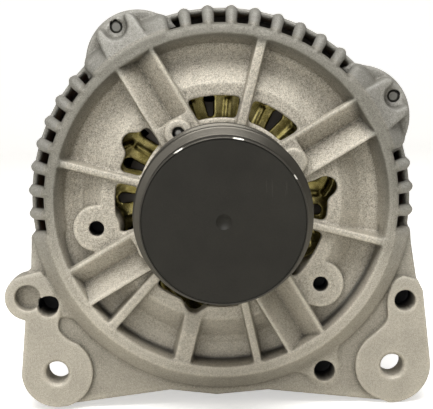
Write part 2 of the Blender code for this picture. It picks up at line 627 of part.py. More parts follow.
def slip_ring_end_housing():
    cavity_r = BODY_R - BODY_WALL
    wall_y = REAR_BACK_Y - REAR_WALL
    hub_back_y = REAR_BACK_Y + REAR_HUB_OUT
    pocket_r = REAR_BEARING_R + SEAT_GAP
    shell = revolve([
        (STATOR_R + SEAT_GAP, REAR_Y), (BODY_R, REAR_Y), (BODY_R, REAR_BACK_Y - REAR_CHAMFER),
        (BODY_R - REAR_CHAMFER, REAR_BACK_Y), (REAR_HUB_R, REAR_BACK_Y), (REAR_HUB_R, hub_back_y),
        (REAR_JOURNAL_R + 2 * MM, hub_back_y), (REAR_JOURNAL_R + 2 * MM, hub_back_y - REAR_LIP),
        (pocket_r, hub_back_y - REAR_LIP), (pocket_r, wall_y - REAR_HUB_INTO),
        (REAR_HUB_R, wall_y - REAR_HUB_INTO), (REAR_HUB_R, wall_y), (cavity_r - REAR_CHAMFER, wall_y),
        (cavity_r, wall_y - REAR_CHAMFER),
        (cavity_r, REAR_Y + SPIGOT_DEPTH), (STATOR_R + SEAT_GAP, REAR_Y + SPIGOT_DEPTH)], FINE_N)
    lug_end_y = REAR_BACK_Y - REAR_CHAMFER - BOLT_HEAD
    lug = slab(bolt_lobe(STATOR_R + 1 * MM, BOLT_BOSS_R + 1 * MM), REAR_Y, lug_end_y)
    post = disc((COVER_SCREW_CIRCLE_R, 0), COVER_POST_R, wall_y + 1 * MM,
                COVER_BACK_Y - COVER_WALL - SEAT_GAP, TINY_N)
    solid = joined(shell, at_angles(lug, SPOKE_ANGLES), at_angles(post, COVER_SCREW_ANGLES), solver=CASTING)
    width = 360 / REAR_WINDOWS
    edge = REAR_WINDOW_EDGE_DEG
    windows = [sector(*REAR_WINDOW_R, i * width + edge, (i + 1) * width - edge, wall_y - CUT_OVER,
                      REAR_BACK_Y + CUT_OVER, 15) for i in range(REAR_WINDOWS)]
    slot = box(cavity_r - REAR_CHAMFER, BODY_R + CUT_OVER, wall_y - 10 * MM, REAR_BACK_Y - 1.4 * MM,
               -REAR_SLOT_WIDTH / 2, REAR_SLOT_WIDTH / 2)
    half = REAR_SLOTS // 2
    angles = [45 + SPOKE_ANGLES[0] + 90 * quarter + REAR_SLOT_PITCH * step
              for quarter in range(4) for step in range(-half, half + 1)]
    bolt_hole = disc((BOLT_CIRCLE_R, 0), BOLT_R + SEAT_GAP, REAR_Y - CUT_OVER, lug_end_y + CUT_OVER, TINY_N)
    head_seat = disc((BOLT_CIRCLE_R, 0), BOLT_HEAD_R + 2 * SEAT_GAP, lug_end_y, REAR_BACK_Y + CUT_OVER,
                     TINY_N)
    post_hole = disc((COVER_SCREW_CIRCLE_R, 0), SCREW_R + SEAT_GAP, REAR_BACK_Y + 4 * MM, COVER_BACK_Y,
                     TINY_N)
    return carved(solid, gathered(windows), at_angles(slot, angles), at_angles(bolt_hole, SPOKE_ANGLES),
                  at_angles(head_seat, SPOKE_ANGLES), at_angles(post_hole, COVER_SCREW_ANGLES),
                  solver=CASTING), lug_end_y


def closed_loop(rows):
    """A tube from rows of points round a section, each row joined to the next and the last to the first."""
    bm = bmesh.new()
    verts = [[bm.verts.new(point) for point in row] for row in rows]
    for first, second in zip(verts, verts[1:] + verts[:1]):
        for i in range(len(first)):
            j = (i + 1) % len(first)
            bm.faces.new((first[i], second[i], second[j], first[j]))
    return mesh_from(bm)


def ball_cage(mid_r, mid_y, ball_r, balls):
    """Balls strung on their cage: a ring whose section swells to a ball's at each ball, thin between them."""
    sides = 5
    rows = []
    for i in range(balls):
        for share in (-0.95, -0.45, 0.45, 0.95):
            angle = math.tau * i / balls + math.asin(share * ball_r / mid_r)
            reach = max(CAGE_SHARE * ball_r, ball_r * math.sqrt(1 - share * share))
            row = []
            for j in range(sides):
                side = math.tau * j / sides
                radius = mid_r + reach * math.cos(side)
                row.append((radius * math.cos(angle), mid_y + reach * math.sin(side),
                            radius * math.sin(angle)))
            rows.append(row)
    return closed_loop(rows)


def bearing(name, outer_r, bore_r, races, width, y0, fixed, turning, caging, balls=7):
    """Outer race, inner race, and the cage with its balls between them."""
    y1 = y0 + width
    inner_top = bore_r + races[1]
    outer_low = outer_r - races[0]
    mid_r = (inner_top + outer_low) / 2
    ball_r = (outer_low - inner_top) / 2 - BALL_PLAY
    piece(f"{name}_outer_race", ring(outer_low, outer_r, y0, y1), STEEL, fixed)
    piece(f"{name}_inner_race", ring(bore_r + SEAT_GAP, inner_top, y0, y1), STEEL, turning)
    mid_y = (y0 + y1) / 2
    piece(f"{name}_ball_cage", ball_cage(mid_r, mid_y, ball_r, balls), STEEL, caging)


def retainer_plate():
    y0, y1 = RETAINER_Y, RETAINER_Y + RETAINER_THICK
    plate = ring(FRONT_BEARING_R - FRONT_RACES[0] + 1 * MM, HUB_R - 0.5 * MM, y0, y1)
    tab = disc((RETAINER_SCREW_CIRCLE_R, 0), SCREW_BOSS_R, y0, y1, TINY_N)
    hole = disc((RETAINER_SCREW_CIRCLE_R, 0), SCREW_R + SEAT_GAP, y0 - CUT_OVER, y1 + CUT_OVER, TINY_N)
    return carved(joined(plate, at_angles(tab, SPOKE_ANGLES)), at_angles(hole, SPOKE_ANGLES))


def screw(place, shank_r, head_r, tip_y, seat_y, head, sides=TINY_N):
    """A screw with its head at the back; tip_y is the front end, and the head stands on seat_y."""
    head_y = seat_y + SEAT_GAP
    return joined(disc(place, shank_r, tip_y, head_y + head / 2, TINY_N),
                  disc(place, head_r, head_y, head_y + head, sides))


def stator_core():
    half = STATOR_SLOT_WIDTH / 2
    slot = box(STATOR_BORE_R - CUT_OVER, STATOR_SLOT_R, STATOR_Y - CUT_OVER, STATOR_END_Y + CUT_OVER,
               -half, half)
    pitch = 360 / STATOR_SLOTS
    core = ring(STATOR_BORE_R, STATOR_R, STATOR_Y, STATOR_END_Y, FINE_N)
    return carved(core, at_angles(slot, [pitch * (i + 0.5) for i in range(STATOR_SLOTS)]))


def stator_winding():
    """Bars in every slot, standing out at both ends as a ring of closely packed bundles."""
    pitch = 360 / STATOR_SLOTS
    bar_half = STATOR_SLOT_WIDTH / 2 - SEAT_GAP
    front_y, back_y = STATOR_Y - WINDING_OUT, STATOR_END_Y + WINDING_OUT
    bars = box(WINDING_INNER_R, STATOR_SLOT_R - SEAT_GAP, STATOR_Y - WINDING_OUT / 2,
               STATOR_END_Y + WINDING_OUT / 2, -bar_half, bar_half)
    outline = [polar(WINDING_R - WINDING_WAVE * (i % 2), pitch * (i + 0.5)) for i in range(STATOR_SLOTS)]
    ends = []
    for y0, y1 in ((front_y, STATOR_Y - SEAT_GAP), (STATOR_END_Y + SEAT_GAP, back_y)):
        bore = disc((0, 0), WINDING_INNER_R, y0 - CUT_OVER, y1 + CUT_OVER, STATOR_SLOTS // 2)
        ends.append(carved(slab(outline, y0, y1), bore))
    return joined(ends[0], at_angles(bars, [pitch * (i + 0.5) for i in range(STATOR_SLOTS)]), ends[1],
                  solver=CASTING)


def claw_pole(front):
    """One half of the rotor's iron: a disc and core with six fingers that taper towards their tips."""
    face_y, tip_y = -CLAW_HALF, CLAW_HALF - CLAW_TIP_BACK
    bm = bmesh.new()
    rows = []
    for y, half_deg, low_r in ((face_y, CLAW_ROOT_DEG, CLAW_DISC_R - 4 * MM),
                               (face_y + CLAW_DISC, None, CLAW_ROOT_R), (tip_y, CLAW_TIP_DEG, CLAW_TIP_R)):
        if half_deg is None:
            share = (y - face_y) / (tip_y - face_y)
            half_deg = CLAW_ROOT_DEG + (CLAW_TIP_DEG - CLAW_ROOT_DEG) * share
        top = arc((0, 0), CLAW_R, -half_deg, half_deg, 3)
        low = arc((0, 0), low_r, half_deg, -half_deg, 1)
        rows.append([bm.verts.new((x, y, z)) for x, z in top + low])
    for first, second in zip(rows, rows[1:]):
        for i in range(len(first)):
            j = (i + 1) % len(first)
            bm.faces.new((first[i], second[i], second[j], first[j]))
    bm.faces.new(rows[0])
    bm.faces.new(reversed(rows[-1]))
    finger = mesh_from(bm)
    disc_end = face_y + CLAW_DISC
    bore_r = SHAFT_R + SEAT_GAP
    body = revolve([(CLAW_DISC_R, face_y), (CLAW_DISC_R, disc_end), (CORE_R, disc_end),
                    (CORE_R, -SEAT_GAP / 2), (bore_r, -SEAT_GAP / 2), (bore_r, face_y)], RING_N)
    first_deg = 0 if front else 180 / CLAWS
    pole = joined(body, at_angles(finger, [first_deg + 360 / CLAWS * i for i in range(CLAWS)]))
    if not front:
        pole.transform(Matrix.Rotation(math.pi, 4, "Z"))
    pole.transform(Matrix.Translation((0, ROTOR_MID_Y, 0)))
    return pole


def bobbin():
    inner_half = CLAW_HALF - CLAW_DISC - SEAT_GAP
    y0, y1 = ROTOR_MID_Y - inner_half, ROTOR_MID_Y + inner_half
    core, edge = CORE_R + SEAT_GAP, CLAW_DISC_R
    return revolve([(edge, y0), (edge, y0 + BOBBIN_WALL), (core + BOBBIN_WALL, y0 + BOBBIN_WALL),
                    (core + BOBBIN_WALL, y1 - BOBBIN_WALL), (edge, y1 - BOBBIN_WALL), (edge, y1), (core, y1),
                    (core, y0)], RING_N)


def field_coil():
    half = CLAW_HALF - CLAW_DISC - SEAT_GAP - BOBBIN_WALL - SEAT_GAP
    low, high = CORE_R + 2 * SEAT_GAP + BOBBIN_WALL, CLAW_DISC_R - 0.8 * MM
    return ring(low, high, ROTOR_MID_Y - half, ROTOR_MID_Y + half)


def fan(front):
    """A pressed fan: a sheet disc with swept blades standing on it and a slot behind each blade's foot."""
    face_y = -CLAW_HALF - SEAT_GAP
    y0 = face_y - FAN_SHEET
    disc_sheet = ring(SHAFT_R + SEAT_GAP, FAN_R, y0, face_y, MEDIUM_N)
    steps = 2
    reach = FAN_R - FAN_SHEET - FAN_BLADE_FROM_R
    centre_line = [(FAN_BLADE_FROM_R + reach * i / steps, FAN_SWEEP_DEG * (i / steps) ** 1.4)
                   for i in range(steps + 1)]
    thick = FAN_SHEET / 2
    side_a = [polar(radius, degrees + math.degrees(thick / radius)) for radius, degrees in centre_line]
    side_b = [polar(radius, degrees - math.degrees(thick / radius)) for radius, degrees in centre_line]
    blade = slab(side_a + side_b[::-1], y0 - FAN_HEIGHT, y0 + FAN_SHEET / 2)
    angles = [360 / FAN_BLADES * i for i in range(FAN_BLADES)]
    outline = arc((FAN_SLOT_R[1], 0), FAN_SLOT_HALF[1], -90, 90, 2)
    outline += arc((FAN_SLOT_R[0], 0), FAN_SLOT_HALF[0], 90, 270, 2)
    slot = turned(slab(outline, y0 - CUT_OVER, face_y + CUT_OVER), -FAN_SLOT_SHARE * 360 / FAN_BLADES)
    if front:
        disc_sheet = carved(disc_sheet, at_angles(slot, angles))
    made = joined(disc_sheet, at_angles(blade, angles))
    if not front:
        made.transform(Matrix.Rotation(math.pi, 4, "Z"))
    made.transform(Matrix.Translation((0, ROTOR_MID_Y, 0)))
    return made


def rotor_shaft():
    front_y = PULLEY_FRONT_Y + 2 * MM
    shoulder_y = FRONT_BEARING_Y + FRONT_BEARING_WIDTH + SEAT_GAP
    rear_y = REAR_BEARING_Y - SEAT_GAP
    tail_y = REAR_BACK_Y + REAR_HUB_OUT
    end_y = SLIP_Y + 2 * SLIP_PITCH
    return revolve([
        (0, front_y), (PULLEY_THREAD_R - 1 * MM, front_y), (PULLEY_THREAD_R, front_y + 1 * MM),
        (PULLEY_THREAD_R, FRONT_BEARING_Y), (FRONT_JOURNAL_R, FRONT_BEARING_Y), (FRONT_JOURNAL_R, shoulder_y),
        (SHAFT_R, shoulder_y), (SHAFT_R, rear_y), (REAR_JOURNAL_R, rear_y), (REAR_JOURNAL_R, tail_y),
        (SHAFT_TAIL_R, tail_y + 1 * MM), (SHAFT_TAIL_R, end_y), (0, end_y)], SHAFT_N)


def shaft_spacer():
    """The collar between the front bearing's inner race and the fan."""
    y0 = FRONT_BEARING_Y + FRONT_BEARING_WIDTH + 2 * SEAT_GAP
    y1 = ROTOR_MID_Y - CLAW_HALF - 2 * SEAT_GAP - FAN_SHEET
    return ring(SHAFT_R + SEAT_GAP, SHAFT_R + 3 * MM, y0, y1, SHAFT_N)


def slip_sleeve():
    y0, y1 = SLIP_Y - SLIP_CLEAR / 2, SLIP_Y + 2 * SLIP_PITCH - SLIP_RING_SPACE / 2
    return ring(SHAFT_TAIL_R + SEAT_GAP, SLIP_SLEEVE_R, y0, y1, SHAFT_N)


def slip_ring(index):
    y0 = SLIP_Y + index * SLIP_PITCH
    return ring(SLIP_SLEEVE_R + SEAT_GAP, SLIP_RING_R, y0, y0 + SLIP_RING_WIDTH, SHAFT_N)


def pulley_ring():
    """The belt ring: six V grooves between two flanges, bored for the clutch and recessed for the cap."""
    back_y = PULLEY_FRONT_Y + PULLEY_WIDTH
    margin = (PULLEY_WIDTH - GROOVES * GROOVE_PITCH) / 2
    profile = [(CAP_SKIRT_R + SEAT_GAP, PULLEY_FRONT_Y), (PULLEY_R - 0.5 * MM, PULLEY_FRONT_Y),
               (PULLEY_R, PULLEY_FRONT_Y + 0.5 * MM)]
    for i in range(GROOVES):
        start = PULLEY_FRONT_Y + margin + i * GROOVE_PITCH
        floor_r = PULLEY_R - GROOVE_DEPTH
        profile += [(PULLEY_R - GROOVE_CREST * (i > 0), start), (floor_r, start + GROOVE_PITCH / 2)]
    recess_y = PULLEY_FRONT_Y + CAP_SKIRT + SEAT_GAP
    profile += [(PULLEY_R, back_y - margin), (PULLEY_R, back_y), (PULLEY_BORE_R, back_y),
                (PULLEY_BORE_R, recess_y), (CAP_SKIRT_R + SEAT_GAP, recess_y)]
    return revolve(profile, MEDIUM_N)


def pulley_hub():
    """The inner sleeve, screwed on the shaft and bearing on the front bearing's inner race."""
    back_y = FRONT_BEARING_Y - SEAT_GAP
    front_y = PULLEY_FRONT_Y + CAP_SKIRT
    wide_from, wide_to = front_y + 2 * MM, PULLEY_FRONT_Y + PULLEY_WIDTH
    wide_r = CLUTCH_INNER_R - SEAT_GAP
    bore_r = PULLEY_THREAD_R + SEAT_GAP
    return revolve([(bore_r, front_y), (HUB_SLEEVE_R, front_y), (HUB_SLEEVE_R, wide_from),
                    (wide_r, wide_from), (wide_r, wide_to), (HUB_SLEEVE_R, wide_to), (HUB_SLEEVE_R, back_y),
                    (bore_r, back_y)], SHAFT_N)


def pulley_clutch():
    """The one-way clutch and its two needle rows, as the ring that fills the pulley's bore."""
    y0 = PULLEY_FRONT_Y + CAP_SKIRT + 3 * MM
    y1 = PULLEY_FRONT_Y + PULLEY_WIDTH - 3 * MM
    outer = PULLEY_BORE_R - SEAT_GAP
    third = (y1 - y0) / 3
    groove = 0.6 * MM
    return revolve([
        (outer, y0), (outer, y0 + third), (outer - groove, y0 + third), (outer - groove, y0 + 2 * third),
        (outer, y0 + 2 * third), (outer, y1), (CLUTCH_INNER_R, y1), (CLUTCH_INNER_R, y0)], SHAFT_N)


def pulley_seal():
    y1 = PULLEY_FRONT_Y + PULLEY_WIDTH - SEAT_GAP
    return ring(CLUTCH_INNER_R, PULLEY_BORE_R - SEAT_GAP, y1 - 2.2 * MM, y1, SHAFT_N)


def pulley_cap():
    """The moulded dust cap: a cup with a rounded brim, a skirt in the pulley's recess and a dimple."""
    front_y = PULLEY_FRONT_Y - CAP_PROUD
    brim_y = PULLEY_FRONT_Y - SEAT_GAP
    corner = arc((CAP_R - CAP_ROUND, front_y + CAP_ROUND), CAP_ROUND, -90, 0, 3)
    profile = [(0, front_y + CAP_DIMPLE), (CAP_DIMPLE_R * 0.6, front_y + CAP_DIMPLE * 0.7),
               (CAP_DIMPLE_R, front_y)] + corner
    profile += [(CAP_R, brim_y), (CAP_SKIRT_R, brim_y), (CAP_SKIRT_R, PULLEY_FRONT_Y + CAP_SKIRT),
                (CAP_SKIRT_R - CAP_WALL, PULLEY_FRONT_Y + CAP_SKIRT),
                (CAP_SKIRT_R - CAP_WALL, front_y + 2 * CAP_WALL), (0, front_y + 2 * CAP_WALL)]
    return revolve(profile, MEDIUM_N)


def rear_cover():
    """The moulded cover: a rounded cup with a ring of vent slots and openings for the stud and the socket."""
    inner_r = COVER_R - COVER_WALL
    floor_y = COVER_BACK_Y - COVER_WALL
    outside = arc((COVER_R - COVER_ROUND, COVER_BACK_Y - COVER_ROUND), COVER_ROUND, 0, 90, 2)
    inside = arc((COVER_R - COVER_ROUND, COVER_BACK_Y - COVER_ROUND), COVER_ROUND - COVER_WALL, 90, 0, 2)
    brim = [(COVER_R, COVER_Y), (inner_r, COVER_Y)]
    cup = revolve([(0, COVER_BACK_Y)] + outside[::-1] + brim + inside[::-1] + [(0, floor_y)], MEDIUM_N)
    vent = box(*VENT_R, floor_y - CUT_OVER, COVER_BACK_Y + CUT_OVER, -VENT_WIDTH / 2, VENT_WIDTH / 2)
    screw_hole = disc((COVER_SCREW_CIRCLE_R, 0), SCREW_R + SEAT_GAP, floor_y - CUT_OVER,
                      COVER_BACK_Y + CUT_OVER, TINY_N)
    stud_hole = disc(polar(STUD_CIRCLE_R, STUD_ANGLE), NUT_R + 1.5 * MM, floor_y - CUT_OVER,
                     COVER_BACK_Y + CUT_OVER)
    x0, y0 = socket_corner()
    way = box(x0 - SEAT_GAP * 2, x0 + SOCKET_SIZE[0] + SEAT_GAP * 2, COVER_Y - CUT_OVER,
              y0 + SOCKET_SIZE[1] + SEAT_GAP * 2, SOCKET_FLOOR_Z - 8 * MM, COVER_R + CUT_OVER)
    vents = [angle for angle in range(0, 360, VENT_PITCH_DEG) if abs(angle - STUD_ANGLE) > 20]
    return carved(cup, at_angles(vent, vents), at_angles(screw_hole, COVER_SCREW_ANGLES), stud_hole, way)


def heat_sink(y0, bolt_clear):
    plate = sector(SINK_INNER_R, SINK_OUTER_R, SINK_START, SINK_END, y0, y0 + SINK_THICK, 10)
    hole = disc(polar(STUD_CIRCLE_R, STUD_ANGLE), bolt_clear, y0 - CUT_OVER, y0 + SINK_THICK + CUT_OVER,
                SMALL_N)
    return carved(plate, hole)


def terminal_board(y0):
    plate = sector(SINK_INNER_R + 2 * MM, SINK_OUTER_R - 2 * MM, SINK_START + 3, SINK_END - 3, y0,
                   y0 + BOARD_THICK, 10)
    hole = disc(polar(STUD_CIRCLE_R, STUD_ANGLE), STUD_R + 1 * MM, y0 - CUT_OVER, y0 + BOARD_THICK + CUT_OVER,
                TINY_N)
    return carved(plate, hole)


def diode(y0, degrees):
    """A press-fit diode: a knurled can with its lead stub."""
    place = polar(DIODE_CIRCLE_R, degrees)
    can = disc(place, DIODE_R, y0, y0 + DIODE_HEIGHT * 0.75, TINY_N)
    return joined(can, disc(place, DIODE_R * 0.35, y0 + DIODE_HEIGHT * 0.5, y0 + DIODE_HEIGHT, TINY_N))


def holder_box():
    """The brush holder's outside: half width, and its front, back, low and high limits."""
    half = BRUSH_X / 2 + SLIDE_GAP + HOLDER_WALL
    y0 = BRUSH_YS[0] - BRUSH_Y / 2 - SLIDE_GAP - HOLDER_WALL
    y1 = BRUSH_YS[1] + BRUSH_Y / 2 + SLIDE_GAP + HOLDER_WALL
    z0 = SLIP_RING_R + 2 * MM
    z1 = SPRING_TOP_Z + SEAT_GAP + HOLDER_WALL
    return half, y0, y1, z0, z1


def brush_holder():
    half, y0, y1, z0, z1 = holder_box()
    body = box(-half, half, y0, y1, z0, z1)
    channels = []
    for brush_y in BRUSH_YS:
        x = BRUSH_X / 2 + SLIDE_GAP
        y = BRUSH_Y / 2 + SLIDE_GAP
        channels.append(box(-x, x, brush_y - y, brush_y + y, z0 - CUT_OVER, SPRING_TOP_Z + SEAT_GAP))
    return carved(body, gathered(channels))


def brush(index):
    y = BRUSH_YS[index]
    return box(-BRUSH_X / 2, BRUSH_X / 2, y - BRUSH_Y / 2, y + BRUSH_Y / 2, BRUSH_BASE_Z, BRUSH_TOP_Z)


def brush_spring(index):
    """A coil spring from the brush's top to the holder's roof: a round wire carried along a helix."""
    bm = bmesh.new()
    per_turn, sides = 6, 3
    count = SPRING_TURNS * per_turn
    low = SPRING_BASE_Z + SPRING_WIRE_R
    rise = SPRING_LENGTH - 2 * SPRING_WIRE_R
    rows = []
    for i in range(count + 1):
        turn = math.tau * i / per_turn
        across = (math.cos(turn), math.sin(turn))
        z = low + rise * i / count
        row = []
        for j in range(sides):
            side = math.tau * j / sides
            reach = SPRING_R + SPRING_WIRE_R * math.cos(side)
            row.append(bm.verts.new((reach * across[0], BRUSH_YS[index] + reach * across[1],
                                     z + SPRING_WIRE_R * math.sin(side))))
        rows.append(row)
    for first, second in zip(rows, rows[1:]):
        for j in range(sides):
            k = (j + 1) % sides
            bm.faces.new((first[j], second[j], second[k], first[k]))
    bm.faces.new(rows[0])
    bm.faces.new(reversed(rows[-1]))
    return mesh_from(bm)


def regulator():
    """The sealed electronics block beside the brush holder, with three cooling fins on its side."""
    half, y0, _, _, z1 = holder_box()
    wide, deep, high = REGULATOR_SIZE
    x1 = -half - SEAT_GAP
    y1 = y0 + 1 * MM + deep
    edge, fin = REGULATOR_EDGE, REGULATOR_FIN
    body = box(x1 - wide, x1, y0 + 1 * MM, y1, z1 - high, z1)
    fins = [box(x1 - wide + edge, x1 - edge, y1 - fin, y1 + REGULATOR_FIN_OUT, z, z + fin)
            for z in (z1 - high + edge, z1 - (high + fin) / 2, z1 - edge - fin)]
    return joined(body, *fins)


def socket_corner():
    half, y0, _, _, _ = holder_box()
    return half + SEAT_GAP, y0 + 1 * MM


def connector_socket():
    """The plug socket: a hollow box that stands out of the cover, on a stem beside the brush holder."""
    x0, y0 = socket_corner()
    x1, y1 = x0 + SOCKET_SIZE[0], y0 + SOCKET_SIZE[1]
    body = box(x0, x1, y0, y1, SOCKET_FLOOR_Z - SOCKET_FLOOR_THICK, SOCKET_TOP_Z)
    stem = box(x0, x0 + SOCKET_STEM, y0, y1, SLIP_RING_R + 6 * MM, SOCKET_FLOOR_Z - SOCKET_FLOOR_THICK / 2)
    hollow = box(x0 + SOCKET_WALL, x1 - SOCKET_WALL, y0 + SOCKET_WALL, y1 - SOCKET_WALL, SOCKET_FLOOR_Z,
                 SOCKET_TOP_Z + CUT_OVER)
    pins = []
    half = PIN_WIDTH / 2
    y = (y0 + y1) / 2
    for i in range(PINS):
        x = x0 + SOCKET_SIZE[0] * (i + 1) / (PINS + 1)
        pins.append(box(x - half, x + half, y - half, y + half, SOCKET_FLOOR_Z - 1 * MM,
                        SOCKET_FLOOR_Z + PIN_HEIGHT))
    return joined(carved(joined(body, stem), hollow), gathered(pins))


def terminal_stud(y0):
    """The output stud: a shank from the upper heat sink out through the cover."""
    place = polar(STUD_CIRCLE_R, STUD_ANGLE)
    return disc(place, STUD_R, y0, COVER_BACK_Y + STUD_OUT, SMALL_N)


def build():
    root = empty("alternator")
    rotor = empty("rotor_axis", root)
    pulley = empty("pulley_axis", rotor)
    front_cage = empty("front_cage_axis", root)
    rear_cage = empty("rear_cage_axis", root)

    piece("drive_end_housing", drive_end_housing(), CAST, root)
    rear_housing, lug_end_y = slip_ring_end_housing()
    piece("slip_ring_end_housing", rear_housing, CAST, root)
    bearing("front_bearing", FRONT_BEARING_R, FRONT_JOURNAL_R, FRONT_RACES, FRONT_BEARING_WIDTH,
            FRONT_BEARING_Y, root, rotor, front_cage)
    bearing("rear_bearing", REAR_BEARING_R, REAR_JOURNAL_R, REAR_RACES, REAR_BEARING_WIDTH, REAR_BEARING_Y,
            root, rotor, rear_cage)
    piece("bearing_retainer_plate", retainer_plate(), STEEL, root)
    for i, angle in enumerate(SPOKE_ANGLES, 1):
        made = screw(polar(RETAINER_SCREW_CIRCLE_R, angle), SCREW_R, SCREW_HEAD_R, HUB_FRONT_Y + 2 * MM,
                     RETAINER_Y + RETAINER_THICK, SCREW_HEAD)
        piece(f"retainer_screw_{i}", made, STEEL, root)
    for i, angle in enumerate(SPOKE_ANGLES, 1):
        tip_y = BOLT_BOSS_FRONT_Y + BOLT_RECESS if i < 3 else EAR_FRONT_Y + COUNTERBORE_DEPTH + BOLT_RECESS
        piece(f"through_bolt_{i}", screw(polar(BOLT_CIRCLE_R, angle), BOLT_R, BOLT_HEAD_R, tip_y, lug_end_y,
                                         BOLT_HEAD, 6), STEEL, root)
    piece("stator_core", stator_core(), LAMINATE, root)
    piece("stator_winding", stator_winding(), COPPER, root)

    sink_2_y = SINK_Y + SINK_THICK + 2 * SEAT_GAP + DIODE_HEIGHT
    board_y = sink_2_y + SINK_THICK + 2 * SEAT_GAP + DIODE_HEIGHT
    piece("rectifier_plate_negative", heat_sink(SINK_Y, STUD_R + 3 * MM), ALLOY, root)
    piece("rectifier_plate_positive", heat_sink(sink_2_y, STUD_R + SEAT_GAP), ALLOY, root)
    piece("rectifier_terminal_board", terminal_board(board_y), BROWN, root)
    for i, angle in enumerate(DIODE_ANGLES, 1):
        piece(f"negative_diode_{i}", diode(SINK_Y + SINK_THICK + SEAT_GAP, angle), STEEL, root)
        piece(f"positive_diode_{i}", diode(sink_2_y + SINK_THICK + SEAT_GAP, angle), STEEL, root)
    stud_y = sink_2_y - STUD_FOOT
    piece("output_stud", terminal_stud(stud_y), STEEL, root)
    nut_y = COVER_BACK_Y + SEAT_GAP
    nut_place = polar(STUD_CIRCLE_R, STUD_ANGLE)
    nut = carved(disc(nut_place, NUT_R, nut_y, nut_y + NUT_THICK, 6),
                 disc(nut_place, STUD_R + SEAT_GAP, nut_y - CUT_OVER, nut_y + NUT_THICK + CUT_OVER, SMALL_N))
    piece("output_stud_nut", nut, STEEL, root)

    piece("brush_holder", brush_holder(), BLACK, root)
    piece("voltage_regulator", regulator(), BLACK, root)
    piece("connector_socket", connector_socket(), BLACK, root)
    for i, brush_y in enumerate(BRUSH_YS):
        place = (0, brush_y, BRUSH_BASE_Z)
        slide = empty(f"brush_{i + 1}_slide_axis", root, place)
        piece(f"brush_{i + 1}", brush(i), CARBON, slide, place)
        piece(f"brush_spring_{i + 1}", brush_spring(i), STEEL, root)
    piece("rear_cover", rear_cover(), BLACK, root)
    for i, angle in enumerate(COVER_SCREW_ANGLES, 1):
        piece(f"cover_screw_{i}", screw(polar(COVER_SCREW_CIRCLE_R, angle), SCREW_R, SCREW_HEAD_R,
                                        REAR_BACK_Y + 8 * MM, COVER_BACK_Y, SCREW_HEAD), STEEL, root)

    piece("rotor_shaft", rotor_shaft(), STEEL, rotor)
    piece("claw_pole_front", claw_pole(True), LAMINATE, rotor)
    piece("claw_pole_rear", claw_pole(False), LAMINATE, rotor)
    piece("field_coil_bobbin", bobbin(), BLACK, rotor)
    piece("field_coil", field_coil(), COPPER, rotor)
    piece("front_fan", fan(True), CHROMATE, rotor)
    piece("rear_fan", fan(False), CHROMATE, rotor)
    piece("shaft_spacer", shaft_spacer(), STEEL, rotor)
    piece("slip_ring_sleeve", slip_sleeve(), BLACK, rotor)
    piece("slip_ring_1", slip_ring(0), BRASS, rotor)
    piece("slip_ring_2", slip_ring(1), BRASS, rotor)
    piece("pulley_hub", pulley_hub(), STEEL, rotor)
    piece("pulley_clutch", pulley_clutch(), STEEL, rotor)

    piece("pulley_ring", pulley_ring(), PULLEY_STEEL, pulley)
    piece("pulley_seal", pulley_seal(), BLACK, pulley)
    piece("pulley_cap", pulley_cap(), BLACK, pulley)
    return root


def set_down(root):
    """Puts the point under the middle of the whole part at the world's origin."""
    bpy.context.view_layer.update()
    corners = [made.matrix_world @ vert.co for made in bpy.data.objects if made.type == "MESH"
               for vert in made.data.vertices]
    low = [min(corner[axis] for corner in corners) for axis in range(3)]
    high = [max(corner[axis] for corner in corners) for axis in range(3)]
    root.location = (-(low[0] + high[0]) / 2, -(low[1] + high[1]) / 2, -low[2])


set_down(build())
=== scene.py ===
# Belt-driven alternator seen from its pulley: finish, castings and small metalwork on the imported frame
import json
import math
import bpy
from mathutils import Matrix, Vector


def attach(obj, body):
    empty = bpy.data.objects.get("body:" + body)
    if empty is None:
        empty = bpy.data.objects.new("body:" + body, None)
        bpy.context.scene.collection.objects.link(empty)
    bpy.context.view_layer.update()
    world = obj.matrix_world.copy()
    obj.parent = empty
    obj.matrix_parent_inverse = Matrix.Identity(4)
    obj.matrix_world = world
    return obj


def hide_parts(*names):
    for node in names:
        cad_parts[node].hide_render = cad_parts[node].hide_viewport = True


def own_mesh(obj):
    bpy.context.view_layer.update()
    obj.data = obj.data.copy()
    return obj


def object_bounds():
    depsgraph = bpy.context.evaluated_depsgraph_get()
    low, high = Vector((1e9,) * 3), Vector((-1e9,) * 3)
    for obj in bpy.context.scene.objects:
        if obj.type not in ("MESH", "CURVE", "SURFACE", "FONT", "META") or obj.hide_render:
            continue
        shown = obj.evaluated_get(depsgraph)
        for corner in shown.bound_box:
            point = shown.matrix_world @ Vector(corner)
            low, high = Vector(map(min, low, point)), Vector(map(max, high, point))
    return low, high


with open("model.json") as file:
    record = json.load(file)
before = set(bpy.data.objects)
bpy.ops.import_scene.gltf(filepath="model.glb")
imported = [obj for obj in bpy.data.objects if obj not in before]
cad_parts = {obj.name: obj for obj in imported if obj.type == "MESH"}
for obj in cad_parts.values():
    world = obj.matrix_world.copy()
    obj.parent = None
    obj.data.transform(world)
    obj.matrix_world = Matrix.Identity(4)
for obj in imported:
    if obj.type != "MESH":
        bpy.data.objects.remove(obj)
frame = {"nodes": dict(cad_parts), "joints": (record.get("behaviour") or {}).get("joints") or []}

from types import SimpleNamespace

import bmesh
import bpy
import numpy as np
from mathutils import Matrix, Vector

cadLow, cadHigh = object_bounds()
mm = 0.001
joints = {joint["name"]: joint for joint in frame["joints"]}
# every size below is in mm from this point: on the shaft, level with the front of the raised ring
shaftPoint = np.array(joints["rotor_spin"]["pos_m"])
print("frame loaded,", len(frame["nodes"]), "nodes")


# Meshes from arrays of points

def placed(name, data):
    # a new object in the scene
    made = bpy.data.objects.new(name, data)
    bpy.context.scene.collection.objects.link(made)
    return made


